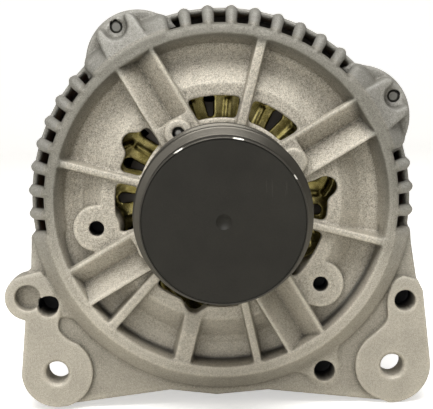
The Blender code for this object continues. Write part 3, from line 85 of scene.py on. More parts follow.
def finished(name, mesh, paint, body, replaced, sharpDeg=35):
    # a piece from its mesh: smooth except at sharp edges, on its body, in place of a CAD node
    mesh.shade_smooth()
    mesh.set_sharp_from_angle(angle=math.radians(sharpDeg))
    mesh.materials.clear()
    mesh.materials.append(paint)
    made = placed(name, mesh)
    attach(made, body)
    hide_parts(replaced)
    return made


def cleaned(mesh, distance=0.002 * mm):
    # merges doubles, so that poles and seams close, and turns every face outwards
    bm = bmesh.new()
    bm.from_mesh(mesh)
    bmesh.ops.remove_doubles(bm, verts=bm.verts, dist=distance)
    bmesh.ops.dissolve_degenerate(bm, edges=bm.edges, dist=distance / 2)
    bmesh.ops.recalc_face_normals(bm, faces=bm.faces)
    bm.to_mesh(mesh)
    bm.free()
    return mesh


def modified(name, mesh, kind, **settings):
    # the mesh as one modifier leaves it
    rough = placed("rough", mesh)
    modifier = rough.modifiers.new("shaping", kind)
    for key, value in settings.items():
        setattr(modifier, key, value)
    made = bpy.data.meshes.new_from_object(rough.evaluated_get(bpy.context.evaluated_depsgraph_get()))
    bpy.data.objects.remove(rough)
    made.name = name
    return made


def meshPiece(name, points, faces, paint, body, replaced, sharpDeg=35):
    # points in mm from the shaft point, faces as rows of point numbers
    mesh = bpy.data.meshes.new(name)
    mesh.from_pydata((points * mm + shaftPoint).tolist(), [], faces.tolist())
    return finished(name, cleaned(mesh), paint, body, replaced, sharpDeg)


def gridFaces(rows, columns, closeRows=False, closeColumns=True, flip=False):
    # quads between neighbours of a rows x columns sheet of points, wrapped where asked
    i = np.arange(rows if closeRows else rows - 1)[:, None]
    j = np.arange(columns if closeColumns else columns - 1)[None, :]
    nextI, nextJ = (i + 1) % rows, (j + 1) % columns
    corners = [i * columns + j, nextI * columns + j, nextI * columns + nextJ, i * columns + nextJ]
    quads = np.stack(corners, -1).reshape(-1, 4)
    return quads[:, ::-1] if flip else quads


def turned(name, rows, paint, body, replaced, place=(0, 0), steps=160, closed=True, sharpDeg=35):
    # a section carried round a line along y: x = r cos t, z = r sin t; each of its rows is (r, y), and
    # either may be a number, an array round the line or a block of such arrays
    blocks = [np.broadcast_arrays(*np.atleast_2d(*row), np.zeros((1, steps)))[:2] for row in rows]
    radius, y = (np.concatenate(part) for part in zip(*blocks))
    t = math.tau * np.arange(steps) / steps
    points = np.stack([place[0] + radius * np.cos(t), y, place[1] + radius * np.sin(t)], -1).reshape(-1, 3)
    faces = gridFaces(len(radius), steps, closeRows=closed)
    return meshPiece(name, points, faces, paint, body, replaced, sharpDeg)


def rounded(corners, radius, closed=True, steps=4):
    # each corner of an outline replaced by an arc: the curve (1-s)^2 a + 2 s (1-s) corner + s^2 b
    corners = np.asarray(corners, float)
    count = len(corners)
    radii = np.broadcast_to(np.asarray(radius, float), (count,))
    s = np.linspace(0, 1, steps + 1)[:, None]
    mostOfEdge = 0.48
    made = []
    for i, corner in enumerate(corners):
        if radii[i] <= 0 or (not closed and i in (0, count - 1)):
            made.append(corner[None])
            continue
        ends = []
        for other in (corners[i - 1], corners[(i + 1) % count]):
            length = np.linalg.norm(other - corner)
            ends.append(corner + (other - corner) / length * min(radii[i], mostOfEdge * length))
        made.append((1 - s) ** 2 * ends[0] + 2 * s * (1 - s) * corner + s ** 2 * ends[1])
    return np.concatenate(made)


def arcPoints(centre, radius, start, end, steps):
    # evenly spaced points of an arc: centre + r (cos t, sin t)
    t = np.radians(np.linspace(start, end, steps + 1))
    return np.stack([centre[0] + radius * np.cos(t), centre[1] + radius * np.sin(t)], -1)


def polar(radius, degrees):
    # the point r (cos a, sin a)
    return np.array([radius * math.cos(math.radians(degrees)), radius * math.sin(math.radians(degrees))])


def softCopy(node, name, paint, body, width):
    # the CAD shape with its edges rounded: a merged copy, each edge sharper than the limit bevelled
    limit = 28
    mesh = frame["nodes"][node].data.copy()
    mesh.transform(frame["nodes"][node].matrix_world)
    made = modified(name, cleaned(mesh, 0.01 * mm), "BEVEL", width=width * mm, segments=3,
                    limit_method="ANGLE", angle_limit=math.radians(limit), use_clamp_overlap=True)
    return finished(name, made, paint, body, node, limit + 4)


# Castings: a field of distances to the metal, negative inside it, and the surface where it is zero

def softMin(a, b, blend):
    # the lower of two distances, with the inner corner between them filled over the blend's width
    near = np.maximum(blend - np.abs(a - b), 0) / blend
    return np.minimum(a, b) - near * near * blend / 4


def softMax(a, b, blend):
    # the higher of two distances, with the outer corner rounded: -softMin(-a, -b)
    return -softMin(-a, -b, blend)


def added(solid, flat, depth, edge, fillet):
    # the solid with a boss, max(flat, depth), its own edge rounded and a fillet at its foot
    return softMin(solid, softMax(flat, depth, edge), fillet)


def cut(solid, flat, depth, edge=None):
    # the solid without a hole of this plan and depth, with the mouth rounded where an edge is given
    hole = -np.maximum(flat, depth)
    return np.maximum(solid, hole) if edge is None else softMax(solid, hole, edge)


def outlineDistance(u, v, corners):
    # signed distance to a closed outline: the nearest edge's, negative where a ray crosses an odd count
    nearest = np.full(np.broadcast(u, v).shape, 1e9, np.float32)
    inside = np.zeros(nearest.shape, bool)
    corners = [tuple(corner) for corner in corners]
    for (ax, ay), (bx, by) in zip(corners, corners[1:] + corners[:1]):
        ex, ey = bx - ax, by - ay
        wx, wy = u - ax, v - ay
        along = np.clip((wx * ex + wy * ey) / (ex * ex + ey * ey), 0, 1)
        nearest = np.minimum(nearest, (wx - ex * along) ** 2 + (wy - ey * along) ** 2)
        if ay != by:
            inside ^= ((ay > v) != (by > v)) & (wx < ex * wy / ey)
    return np.where(inside, -1, 1) * np.sqrt(nearest)


def between(value, low, high):
    # distance outside a range: the greater of low - value and value - high
    return np.maximum(low - value, value - high)


def discAt(x, z, centre, radius):
    # distance outside a circle: |point - centre| - radius
    return np.hypot(x - centre[0], z - centre[1]) - radius


def ballPast(value, low, high, side):
    # distance from a stretch of a line: the root of (past its ends)^2 + (beside it)^2
    return np.hypot(np.maximum(between(value, low, high), 0), side)


def acrossFrom(x, z, degrees):
    # distance out along a direction from the shaft, x cos a + z sin a, and sideways, z cos a - x sin a
    c, s = math.cos(math.radians(degrees)), math.sin(math.radians(degrees))
    return x * c + z * s, z * c - x * s


def outAndSide(radius, degrees):
    # the same for points turned off a direction by an angle: r cos a, r sin a
    return radius * np.cos(np.radians(degrees)), radius * np.sin(np.radians(degrees))


def folded(angle, pitch, centre=0):
    # degrees from the nearest of evenly spaced directions: (a - centre + pitch / 2) mod pitch - pitch / 2
    return (angle - centre + pitch / 2) % pitch - pitch / 2


def offSlot(angle, centre, pitch, first, last, repeat=360):
    # degrees from the nearest slot of a group: the fold less the pitch times round(fold / pitch), which is
    # kept between the first and last numbers
    fold = folded(angle, repeat, centre)
    return fold - np.clip(np.round(fold / pitch), first, last) * pitch


def smoothed(field, passes):
    # each pass takes a quarter of both neighbours along each axis, which rounds edges as a sand mould does
    for _ in range(passes):
        for axis in range(3):
            padded = np.concatenate([field.take([0], axis), field, field.take([-1], axis)], axis)
            count = field.shape[axis]
            field = (padded.take(range(count), axis) + 2 * field + padded.take(range(2, count + 2), axis)) / 4
    return field


def sampled(field, low, cell, points):
    # the field between its grid points, by straight-line shares along the three axes
    place = (points - low) / cell
    base = np.clip(np.floor(place).astype(int), 0, np.array(field.shape) - 2)
    share = place - base
    total = 0
    for corner in np.ndindex(2, 2, 2):
        weight = np.prod(np.where(np.array(corner) == 1, share, 1 - share), axis=1)
        i, j, k = (base + corner).T
        total = total + weight * field[i, j, k]
    return total


def surfaceOf(field, low, cell):
    # one point in each cell that the surface passes through, at the mean of its edge crossings, and one quad
    # round each grid edge that crosses; the points are then moved along the slope until the field is zero
    cells = tuple(n - 1 for n in field.shape)
    sums = np.zeros((3, cells[0] * cells[1] * cells[2]))
    counts = np.zeros(sums.shape[1])
    rings = []
    for axis in range(3):
        first = field.take(range(field.shape[axis] - 1), axis)
        second = field.take(range(1, field.shape[axis]), axis)
        edge = np.nonzero((first < 0) != (second < 0))
        a, b = first[edge], second[edge]
        place = np.stack(edge).astype(float)
        place[axis] += a / (a - b)
        one, two = (axis + 1) % 3, (axis + 2) % 3
        ring = []
        for stepOne, stepTwo in ((0, 0), (-1, 0), (-1, -1), (0, -1)):
            cellIndex = [part.copy() for part in edge]
            cellIndex[one] += stepOne
            cellIndex[two] += stepTwo
            flat = np.ravel_multi_index(cellIndex, cells)
            counts += np.bincount(flat, minlength=len(counts))
            for part in range(3):
                sums[part] += np.bincount(flat, place[part], len(counts))
            ring.append(flat)
        quads = np.stack(ring, -1)
        quads[a >= 0] = quads[a >= 0][:, ::-1]
        rings.append(quads)
    used = np.nonzero(counts)[0]
    number = np.full(len(counts), -1)
    number[used] = np.arange(len(used))
    points = low + (sums[:, used] / counts[used]).T * cell
    quads = number[np.concatenate(rings)]
    reach = np.min(cell) * 0.5
    for _ in range(2):
        slope, move = slopeAndMove(field, low, cell, points, reach)
        points = points + move
    return creased(field, low, cell, points, quads, reach), quads


def slopeAndMove(field, low, cell, points, reach):
    # the field's slope by central differences, and the step -value slope / |slope|^2 to its zero
    leastSlope = 0.05
    value = sampled(field, low, cell, points)
    slope = np.stack([sampled(field, low, cell, points + step) - sampled(field, low, cell, points - step)
                      for step in np.eye(3) * reach], -1) / (2 * reach)
    move = -value[:, None] * slope / np.maximum((slope ** 2).sum(1, keepdims=True), leastSlope)
    return slope, np.clip(move, -reach, reach)


def creased(field, low, cell, points, quads, reach):
    # edges made crisp: each point goes to where the tangent planes of its neighbours meet, the least squares
    # answer of n.x = n.p over them, held near where it is by a tenth of its own weight
    holdShare, farthest = 0.1, 1.3 * reach
    slope = slopeAndMove(field, low, cell, points, reach * 0.5)[0]
    normal = slope / np.maximum(np.linalg.norm(slope, axis=1, keepdims=True), 1e-6)
    level = (normal * points).sum(1)
    edges = np.concatenate([quads[:, [0, 1]], quads[:, [1, 2]], quads[:, [2, 3]], quads[:, [3, 0]]])
    count, own = len(points), np.arange(len(points))
    first = np.concatenate([edges[:, 0], edges[:, 1], own])
    second = np.concatenate([edges[:, 1], edges[:, 0], own])
    total = np.zeros((count, 3, 3))
    wanted = np.zeros((count, 3))
    for i in range(3):
        wanted[:, i] = np.bincount(first, (normal[:, i] * level)[second], count)
        for j in range(i, 3):
            total[:, i, j] = np.bincount(first, (normal[:, i] * normal[:, j])[second], count)
            total[:, j, i] = total[:, i, j]
    hold = holdShare * np.trace(total, axis1=1, axis2=2)[:, None]
    total = total + hold[:, :, None] * np.eye(3)
    shift = np.linalg.solve(total, (wanted + hold * points)[:, :, None])[:, :, 0] - points
    length = np.linalg.norm(shift, axis=1, keepdims=True)
    return points + shift * np.minimum(1, farthest / np.maximum(length, 1e-9))


def castPiece(name, fieldOf, low, high, cell, paint, body, replaced, triangles, sharpDeg=38,
              shadeOf=None):
    # fieldOf(x, y, z) gives the distances on an open grid; the mesh is thinned to the wanted triangles, and
    # each point keeps in "edge" how far it stands out of the blurred metal: above 0 on edges, below in
    # corners; shadeOf(x, y, z) gives the painted shade in holes and inside, 0 to 1
    low, cell = np.array(low, float), np.array(cell, float)
    counts = [int(round(span)) + 1 for span in (np.array(high) - low) / cell]
    axes = [(low[i] + cell[i] * np.arange(counts[i])).astype(np.float32) for i in range(3)]
    field = fieldOf(axes[0][:, None, None], axes[1][None, :, None], axes[2][None, None, :])
    field = np.ascontiguousarray(np.broadcast_to(field, counts)).astype(np.float32)
    points, quads = surfaceOf(field, low, cell)
    mesh = bpy.data.meshes.new(name)
    mesh.from_pydata(points.tolist(), [], quads.tolist())
    share = triangles / (2 * len(quads))
    if share < 1:
        mesh = modified(name, mesh, "DECIMATE", ratio=share)
    flat = np.empty(len(mesh.vertices) * 3, np.float32)
    mesh.vertices.foreach_get("co", flat)
    points = flat.reshape(-1, 3).astype(float)
    skin, blurPasses = 0.02, 6  # the thinned points are kept this far inside the CAD part's box
    boxLow, boxHigh = ((np.array(corner) - shaftPoint) / mm for corner in (cadLow, cadHigh))
    points = np.clip(points, boxLow + skin, boxHigh - skin)
    edge = sampled(smoothed(field, blurPasses), low, cell, points)
    soot = shadeOf(*points.T) if shadeOf else np.zeros(len(points))
    for key, values in (("edge", edge), ("soot", soot)):
        mesh.attributes.new(key, "FLOAT", "POINT").data.foreach_set("value", values.astype(np.float32))
    mesh.vertices.foreach_set("co", (points * mm + shaftPoint).astype(np.float32).ravel())
    mesh.update()
    print(name, len(quads), "quads,", len(mesh.polygons), "faces kept")
    return finished(name, mesh, paint, body, replaced, sharpDeg)


# Materials as sums of sockets

def plugged(tree, socket, value):
    # a link, a number or a colour of three parts, in a node's socket
    if isinstance(value, Sock):
        tree.links.new(value.socket, socket)
    elif socket.type == "RGBA":
        socket.default_value = (*value, 1)
    else:
        socket.default_value = value


def paired(operation, swapped=False):
    # an operator that adds the Math node for it
    return lambda self, other: self.math(operation, other, swapped)


class Sock:
    # a node's output in a material; a sum with it adds the Math node
    __add__, __radd__ = paired("ADD"), paired("ADD", True)
    __sub__, __rsub__ = paired("SUBTRACT"), paired("SUBTRACT", True)
    __mul__, __rmul__ = paired("MULTIPLY"), paired("MULTIPLY", True)

    def __init__(self, tree, socket):
        self.tree, self.socket = tree, socket

    def node(self, kind, settings=None, sockets=None, out=0):
        # settings first, a ramp's "stops" among them, then values or links by socket name or number
        made = self.tree.nodes.new(kind)
        for key, value in (settings or {}).items():
            if key != "stops":
                setattr(made, key, value)
                continue
            ramp = made.color_ramp.elements
            while len(ramp) < len(value):
                ramp.new(0.5)
            for element, (place, colour) in zip(ramp, value):
                element.position, element.color = place, (*colour, 1)
        for key, value in (sockets or {}).items():
            plugged(self.tree, made.inputs[key], value)
        return Sock(self.tree, made.outputs[out])

    def math(self, operation, other=None, swapped=False, clamp=False):
        values = [self] if other is None else [other, self] if swapped else [self, other]
        settings = {"operation": operation, "use_clamp": clamp}
        return self.node("ShaderNodeMath", settings, dict(enumerate(values)))

    def root(self):
        return self.math("SQRT")

    def clamped(self):
        return self.math("ADD", 0, clamp=True)

    def between(self, low, high):
        # 0 at the low value, 1 at the high one
        return (self - low).math("DIVIDE", high - low, clamp=True)

    def noise(self, size, detail=2.0, rough=0.5, stretch=None):
        # grain of about the given size in mm, 0 to 1 round 0.5
        where = self
        if stretch:
            sockets = {"Vector": self, "Scale": stretch}
            where = self.node("ShaderNodeMapping", {"vector_type": "POINT"}, sockets)
        return self.node("ShaderNodeTexNoise", {}, {"Vector": where, "Scale": 1 / (size * mm),
                                                    "Detail": detail, "Roughness": rough})

    def mixed(self, first, second):
        # a colour between two, by this share
        return self.node("ShaderNodeMix", {"data_type": "RGBA"}, {0: self, 6: first, 7: second}, out=2)

    def parts(self):
        return [self.node("ShaderNodeSeparateXYZ", {}, {0: self}, out=i) for i in range(3)]

    def bump(self, height, distance, strength):
        sockets = {"Height": height, "Distance": distance * mm, "Strength": strength}
        return self.node("ShaderNodeBump", {}, sockets)


def newPaint(name):
    # an empty Principled material: its shader node and a socket of object coordinates
    paint = bpy.data.materials.new(name)
    paint.use_nodes = True
    tree = paint.node_tree
    where = tree.nodes.new("ShaderNodeTexCoord")
    return paint, tree.nodes["Principled BSDF"], Sock(tree, where.outputs["Object"])


def setPaint(shader, **values):
    # values or links on the Principled shader, with _ for a space in a socket's name
    for key, value in values.items():
        plugged(shader.id_data, shader.inputs[key.replace("_", " ")], value)


def fromShaft(where):
    # distance from the shaft's line, and x and z from it, all in mm; y stays in m from the origin
    x, y, z = where.parts()
    x, z = (x - float(shaftPoint[0])) * 1000, (z - float(shaftPoint[2])) * 1000
    return (x * x + z * z).root(), x, y, z


# the warm light tone covers the casting; the grey one on the upper outside is painted light, and the darker
# lower outside, the corner term and the colour for holes are painted shade
castLook = {"light": (0.70, 0.645, 0.54), "dark": (0.095, 0.086, 0.066), "grey": (0.39, 0.38, 0.345),
            "grain": 0.40, "grainStrength": 2.3, "speckStrength": 0.7, "quiet": 0.8, "low": 0.6,
            "blotch": 9.0, "ring": (56.0, 64.4), "ringFade": 3.5, "ringColour": (0.25, 0.243, 0.21),
            "ringShare": 0.88, "soot": (0.010, 0.010, 0.012), "upper": (-38.0, 5.0), "middle": 0.52,
            "lowDarker": 0.06, "blotchStrength": 0.30, "edgeStrength": 0.40, "cornerStrength": 0.15,
            "roughness": 0.52, "metallic": 0.3, "bump": 0.26}


def castPaint(name):
    # sand-cast aluminium: coarse grain in the dish and finer on the rim and ears, slow mottling, pale worn
    # edges, painted shade in corners, inside and down holes, a ring face darker towards the top, and painted
    # light on the outside: a cooler grey on top, a little darker below
    look = SimpleNamespace(**castLook)
    paint, shader, where = newPaint(name)
    radius, _, _, height = fromShaft(where)
    outside = radius.between(look.ring[1] - 0.6, look.ring[1] + 0.8)
    upper = height.between(*look.upper)
    amount = (1 - outside * (1 - look.quiet)) * (upper * (1 - look.low) + look.low)
    grain = where.noise(look.grain, 3, 0.75)
    speck = where.noise(look.grain * 2.5, 2, 0.6)
    blotch = where.noise(look.blotch, 3, 0.55)
    edge = where.node("ShaderNodeAttribute", {"attribute_name": "edge"}, out=2)
    # the painted shade of holes and the inside, kept on each point
    soot = where.node("ShaderNodeAttribute", {"attribute_name": "soot"}, out=2)
    onRing = radius.between(look.ring[0], look.ring[0] + look.ringFade) * (1 - outside) * upper
    # painted shade: concave corners, where edge is below 0, are darkened here and by the edge term, which
    # also lightens worn edges
    corner = edge.math("MINIMUM", 0.0)
    coarse = ((grain - 0.5) * look.grainStrength + (speck - 0.5) * look.speckStrength) * amount
    # painted shade: the lower outside, ears and web, a little darker
    share = (look.middle - outside * (1 - upper) * look.lowDarker + coarse
             + (blotch - 0.5) * look.blotchStrength + edge * look.edgeStrength + corner * look.cornerStrength)
    # painted light: the upper outside, fins and lobes, takes a cooler, darker grey for the neutral light from
    # above, the rest keeps the warm tone
    light = (outside * upper).mixed(look.light, look.grey)
    # the ring's front face darker, fading out towards the bottom
    light = (onRing * look.ringShare).mixed(light, look.ringColour)
    colour = share.clamped().mixed(look.dark, light)
    setPaint(shader, Base_Color=soot.clamped().mixed(colour, look.soot), Metallic=look.metallic,
             Roughness=look.roughness + (blotch - 0.5) * 0.2 + (grain - 0.5) * 0.3,
             Normal=where.bump((grain + speck * 0.6) * amount, look.bump, 0.8))
    return paint


def scaled(colour, share):
    # the colour times a share
    return tuple(value * share for value in colour)


def steelPaint(name, colour, roughness=0.34, metallic=0.9, rings=0.35):
    # turned steel: fine rings round the shaft, small scratches and a slow tarnish
    paint, shader, where = newPaint(name)
    radius, _, y, _ = fromShaft(where)
    line = where.node("ShaderNodeCombineXYZ", {}, {0: radius * mm, 1: y, 2: 0.0})
    ring = line.noise(rings, 2, 0.6)
    tarnish = where.noise(7.0, 4, 0.6)
    scratch = where.noise(0.6, 2, 0.5, (1, 0.12, 1))
    share = 0.75 + (ring - 0.5) * 0.5 + (tarnish - 0.5) * 0.6 + (scratch - 0.5) * 0.2
    setPaint(shader, Base_Color=share.clamped().mixed(scaled(colour, 0.62), colour), Metallic=metallic,
             Roughness=roughness + (tarnish - 0.5) * 0.25 + (ring - 0.5) * 0.15,
             Normal=where.bump(ring + scratch * 0.4, 0.02, 0.5))
    return paint


def plasticPaint(name, colour, roughness=0.55):
    # moulded plastic: fine spark-eroded grain with a little pale dust
    paint, shader, where = newPaint(name)
    fine = where.noise(0.35, 2, 0.6)
    cloud = where.noise(12.0, 4, 0.6)
    pale = tuple(min(1, value * 1.6 + 0.01) for value in colour)
    share = 0.2 + (cloud - 0.5) * 0.7 + (fine - 0.5) * 0.4
    setPaint(shader, Base_Color=share.clamped().mixed(colour, pale), Specular_IOR_Level=0.3,
             Roughness=roughness + (cloud - 0.5) * 0.2 + (fine - 0.5) * 0.12,
             Normal=where.bump(fine, 0.03, 0.6))
    return paint


# the bright marks on the rim are painted highlights, glints of reflected light
capLook = {"front": -47.4, "black": (0.0115, 0.0104, 0.0078), "dust": (0.030, 0.028, 0.022),
           "rim": (26.15, 0.2), "rimColour": (0.10, 0.092, 0.078), "chip": (0.95, 0.92, 0.84),
           "chips": ((79, 0.55), (121, 0.5), (31, 0.3)), "chipStretch": 3.2, "chipRadius": 26.45,
           "scratchAt": (16.5, 10.5, 4.5)}


def capPaint():
    # black moulding with fine grain, a thin worn rim with painted bright glints of light, dust and a few hair
    # scratches
    look = SimpleNamespace(**capLook)
    paint, shader, where = newPaint("capPlastic")
    radius, x, y, z = fromShaft(where)
    fromFront = (y - float(shaftPoint[1])) * 1000 - look.front
    rim = radius.between(look.rim[0], look.rim[0] + look.rim[1]) * (1 - fromFront.between(0.9, 1.5))
    fine = where.noise(0.45, 2, 0.6)
    cloud = where.noise(12.0, 4, 0.6)
    hair = where.noise(0.5, 1, 0.4, (1.0, 1.0, 0.06)).math("GREATER_THAN", 0.66)
    overX, overZ = x - look.scratchAt[0], z - look.scratchAt[1]
    near = 1 - (overX * overX + overZ * overZ).root().between(1.0, look.scratchAt[2])
    share = 0.25 + (cloud - 0.5) * 0.8 + (fine - 0.5) * 0.5 + hair * near * 1.2
    colour = share.clamped().mixed(look.black, look.dust)
    colour = (rim * (cloud * 1.4 - 0.1).clamped()).mixed(colour, look.rimColour)
    # painted highlights: short bright streaks along the rim at the top, glints of reflected light
    chips = None
    for degrees, size in look.chips:
        overX, overZ = polar(1, degrees).tolist()
        along = (z * overX - x * overZ) * (1 / look.chipStretch)
        across = x * overX + z * overZ - look.chipRadius
        ragged = (along * along + across * across).root() + (fine - 0.5) * 0.7
        chip = 1 - ragged.between(size * 0.8, size)
        chips = chips.math("MAXIMUM", chip) if chips else chip
    chips = (chips * rim).clamped()
    setPaint(shader, Base_Color=chips.mixed(colour, look.chip), Specular_IOR_Level=0.25,
             Metallic=(rim * 0.6).clamped(), Roughness=0.58 - rim * 0.2 + (cloud - 0.5) * 0.2,
             Normal=where.bump(fine, 0.025, 0.6))
    return paint


def chromatePaint():
    # yellow chromate on pressed zinc-plated steel: olive and straw tints, glossy, in soft clouds
    stops = [(0.28, (0.14, 0.115, 0.034)), (0.45, (0.31, 0.26, 0.085)), (0.60, (0.50, 0.43, 0.18)),
             (0.78, (0.42, 0.31, 0.10))]
    paint, shader, where = newPaint("yellowChromate")
    cloud = where.noise(5.0, 4, 0.65)
    fine = where.noise(1.1, 3, 0.6)
    tint = cloud.node("ShaderNodeValToRGB", {"stops": stops}, {"Fac": cloud + (fine - 0.5) * 0.15})
    setPaint(shader, Base_Color=tint, Metallic=0.92, Roughness=0.24 + (fine - 0.5) * 0.2,
             Normal=where.bump(cloud + fine * 0.10, 0.22, 0.5))
    return paint


def copperPaint(name, colour, pitch):
    # varnished wire: rounded windings side by side round the shaft
    paint, shader, where = newPaint(name)
    radius, _, y, _ = fromShaft(where)
    wave = (radius * (math.tau / pitch)).math("SINE") + (y * (1000 * math.tau / pitch)).math("SINE")
    cloud = where.noise(4.0, 3, 0.6)
    share = 0.6 + wave * 0.2 + (cloud - 0.5) * 0.5
    setPaint(shader, Base_Color=share.clamped().mixed(scaled(colour, 0.35), colour), Metallic=0.75,
             Roughness=0.3 + (cloud - 0.5) * 0.2, Normal=where.bump(wave, 0.15, 0.8), Coat_Weight=0.35)
    return paint


def laminatePaint():
    # stacked sheets: a thin line every 0.65 mm along the shaft, with brown varnish and rust bloom
    halfSheet = 0.325
    paint, shader, where = newPaint("laminatedSteel")
    line = (where.parts()[1] * 1000).math("PINGPONG", halfSheet) * (1 / halfSheet)
    cloud = where.noise(5.0, 4, 0.6)
    share = 0.35 + line * 0.35 + (cloud - 0.5) * 0.7
    setPaint(shader, Base_Color=share.clamped().mixed((0.075, 0.068, 0.06), (0.21, 0.19, 0.17)),
             Metallic=0.6, Roughness=0.5 + (cloud - 0.5) * 0.3, Normal=where.bump(line, 0.08, 0.7))
    return paint


paints = {
    "cast": castPaint("castAluminium"),
    "steel": steelPaint("brightSteel", (0.55, 0.54, 0.51)),
    "boltSteel": steelPaint("boltSteel", (0.24, 0.235, 0.215), roughness=0.45, metallic=0.8),
    "pulley": steelPaint("pulleySteel", (0.108, 0.100, 0.084), roughness=0.36, metallic=0.92, rings=0.25),
    "capBlack": capPaint(),
    "black": plasticPaint("mouldedPlastic", (0.030, 0.030, 0.031), roughness=0.5),
    "rubber": plasticPaint("sealRubber", (0.02, 0.02, 0.02), roughness=0.7),
    "board": plasticPaint("brownBoard", (0.10, 0.05, 0.022), roughness=0.5),
    "carbon": plasticPaint("brushCarbon", (0.03, 0.028, 0.027), roughness=0.45),
    "chromate": chromatePaint(),
    "copper": copperPaint("statorCopper", (0.50, 0.20, 0.07), 1.3),
    "fieldCopper": copperPaint("fieldCopper", (0.45, 0.17, 0.06), 0.9),
    "laminate": laminatePaint(),
    "plate": steelPaint("plateAluminium", (0.62, 0.62, 0.62), roughness=0.4, rings=0.8),
    "slipCopper": steelPaint("slipRingCopper", (0.70, 0.38, 0.18), roughness=0.22),
}
print("materials made,", len(paints))


# Drive-end casting

driveEnd = {
    "ringInner": 60.1, "ringWidth": 3.6, "ringDraft": 3.0, "valley": (52.0, 9.0), "flat": (43.0, 3.0),
    "plate": 3.2, "steepBelow": -10.0, "hub": 27.6, "hubFront": -4.0, "hubHole": 15.0, "pocket": 23.8,
    "hubBack": 13.6, "hubLip": 3.0, "shoulder": (69.3, 6.5), "finTip": (70.8, 11.0), "finBack": 16.0,
    "body": 69.8, "wall": 2.6, "depth": 34.0, "spigot": (68.3, 4.0), "windowRadii": (30.4, 38.4), "lobe": 3.7,
    "windows": ((42, 72, None), (78, 108, None), (133, 162, 145), (168, 196, None), (230, 280, 254),
                (312, 342, None), (348, 372, 7)),
    "spokes": (30, 120, 210, 300), "closedScrewHole": 30, "spokeHalf": 8.0, "spokeEdge": 1.5,
    "troughDepth": 6.8, "troughWall": 2.6,
    "thinRibs": ((75, 1.6), (165, 1.2), (227.5, 1.6), (281.7, 1.3), (345, 1.2)), "ribTop": 0.2,
    "wideRib": (255, 2.9, 40.5), "wideRibFall": (49.0, 0.3), "draft": 0.06,
    "screwCircle": 29.5, "screwBoss": 4.9, "screwHole": 2.2,
    "pads": ((-45.3, -8.7), (35.5, -30.8)), "padRadius": 8.2, "padHole": 2.75, "padDepth": 10.0,
    "slots": ((75, -4, 4), (165, -4, 3), (345, 1, 4)), "slotPitch": 7.2, "slotHalf": 2.05, "slotFrom": 0.4,
    "slotBack": 26.0, "finRound": 3.2, "finNose": 2.25, "band": (66.1, 11.6, 69.6),
    "boltCircle": 73.2, "boltBoss": 5.2, "boltHole": 2.8, "bossFront": 7.0, "foot": (9.2, 65.5),
    "bulge": (58.6, 18.8, 11.5, 62.0), "horns": (8.3, 61.5, 75.4), "hornTaper": (64, 0.10, 0.05),
    "hornFront": (0.7, 0.38), "hornBack": 16, "boltPocket": (73.2, 4.5, 10.6), "pocketTaper": (5, 0.12, 0.30),
    "earHole": (62.1, -62.7), "earHoleRadius": 4.15, "earSink": 5.1, "earFront": 6.0, "earThick": 10.8,
    "earCorners": (13.1, 14.2), "webStep": 2.0, "blindBoss": (-71.8, -34.3), "blindRadii": (8.4, 4.75),
    "blindDepth": 5.0, "webHoles": ((66.9, -38.2), (-64.5, -37.6), (37.1, -64.5)), "webHoleRadius": 3.85,
    "webHoleWall": 2.3, "webHoleDepth": 14.0, "webAngles": (189.6, 350.6), "earInner": (13.3, 13.7),
    "rightSide": ((73.5, -34.7), (71.5, -30.5), (69.9, -19.7)),
    "under": ((-20.4, -70.8), (-3.1, -73.0), (16.0, -71.6)),
    "leftTop": ((-54.0, -52.0), (-57.6, -50.5), (-61.5, -46.2), (-59.7, -39.5), (-63.0, -30.0)),
    "rightTop": ((66.3, -29.1), (62.8, -30.3), (60.0, -38.0), (60.8, -44.8), (58.7, -47.9), (54.0, -51.6)),
}


def bossFoot(out, side, half, start):
    # the broad foot of a through-bolt boss, which narrows past the body
    narrowFrom, narrowing, end = 69.0, 1.1, 74
    return np.maximum(np.abs(side) - half + np.maximum(out - narrowFrom, 0) * narrowing,
                      between(out, start, end))


def earOutlines(d):
    # the web round the lower half and the two ear blocks, from arcs round their holes and straight runs
    holeX, holeZ = d.earHole
    leftCorner = arcPoints((-holeX, holeZ), d.earCorners[0], 184, 270, 12)
    rightCorner = arcPoints((holeX, holeZ), d.earCorners[1], 266, 362, 14)
    leftInner = arcPoints((-holeX, holeZ), d.earInner[0], -75, 48, 14)
    rightInner = arcPoints((holeX, holeZ), d.earInner[1], 132, 255, 14)
    boss = arcPoints(d.blindBoss, d.blindRadii[0], 98, 262, 18)
    inner = arcPoints((0, 0), d.body - 3, d.webAngles[1], d.webAngles[0], 40)
    web = [[polar(70.7, d.webAngles[0]), (-70.5, -23.8)], boss, leftCorner, d.under, rightCorner,
           d.rightSide, [polar(69.7, d.webAngles[1])], inner]
    left = [[(-66.5, -24.5)], boss, leftCorner, leftInner, rounded(d.leftTop, 3.0, False)]
    right = [rightInner, rightCorner, d.rightSide[:2], rounded(d.rightTop, 3.0, False)]
    return [np.concatenate(runs) for runs in (web, left, right)]


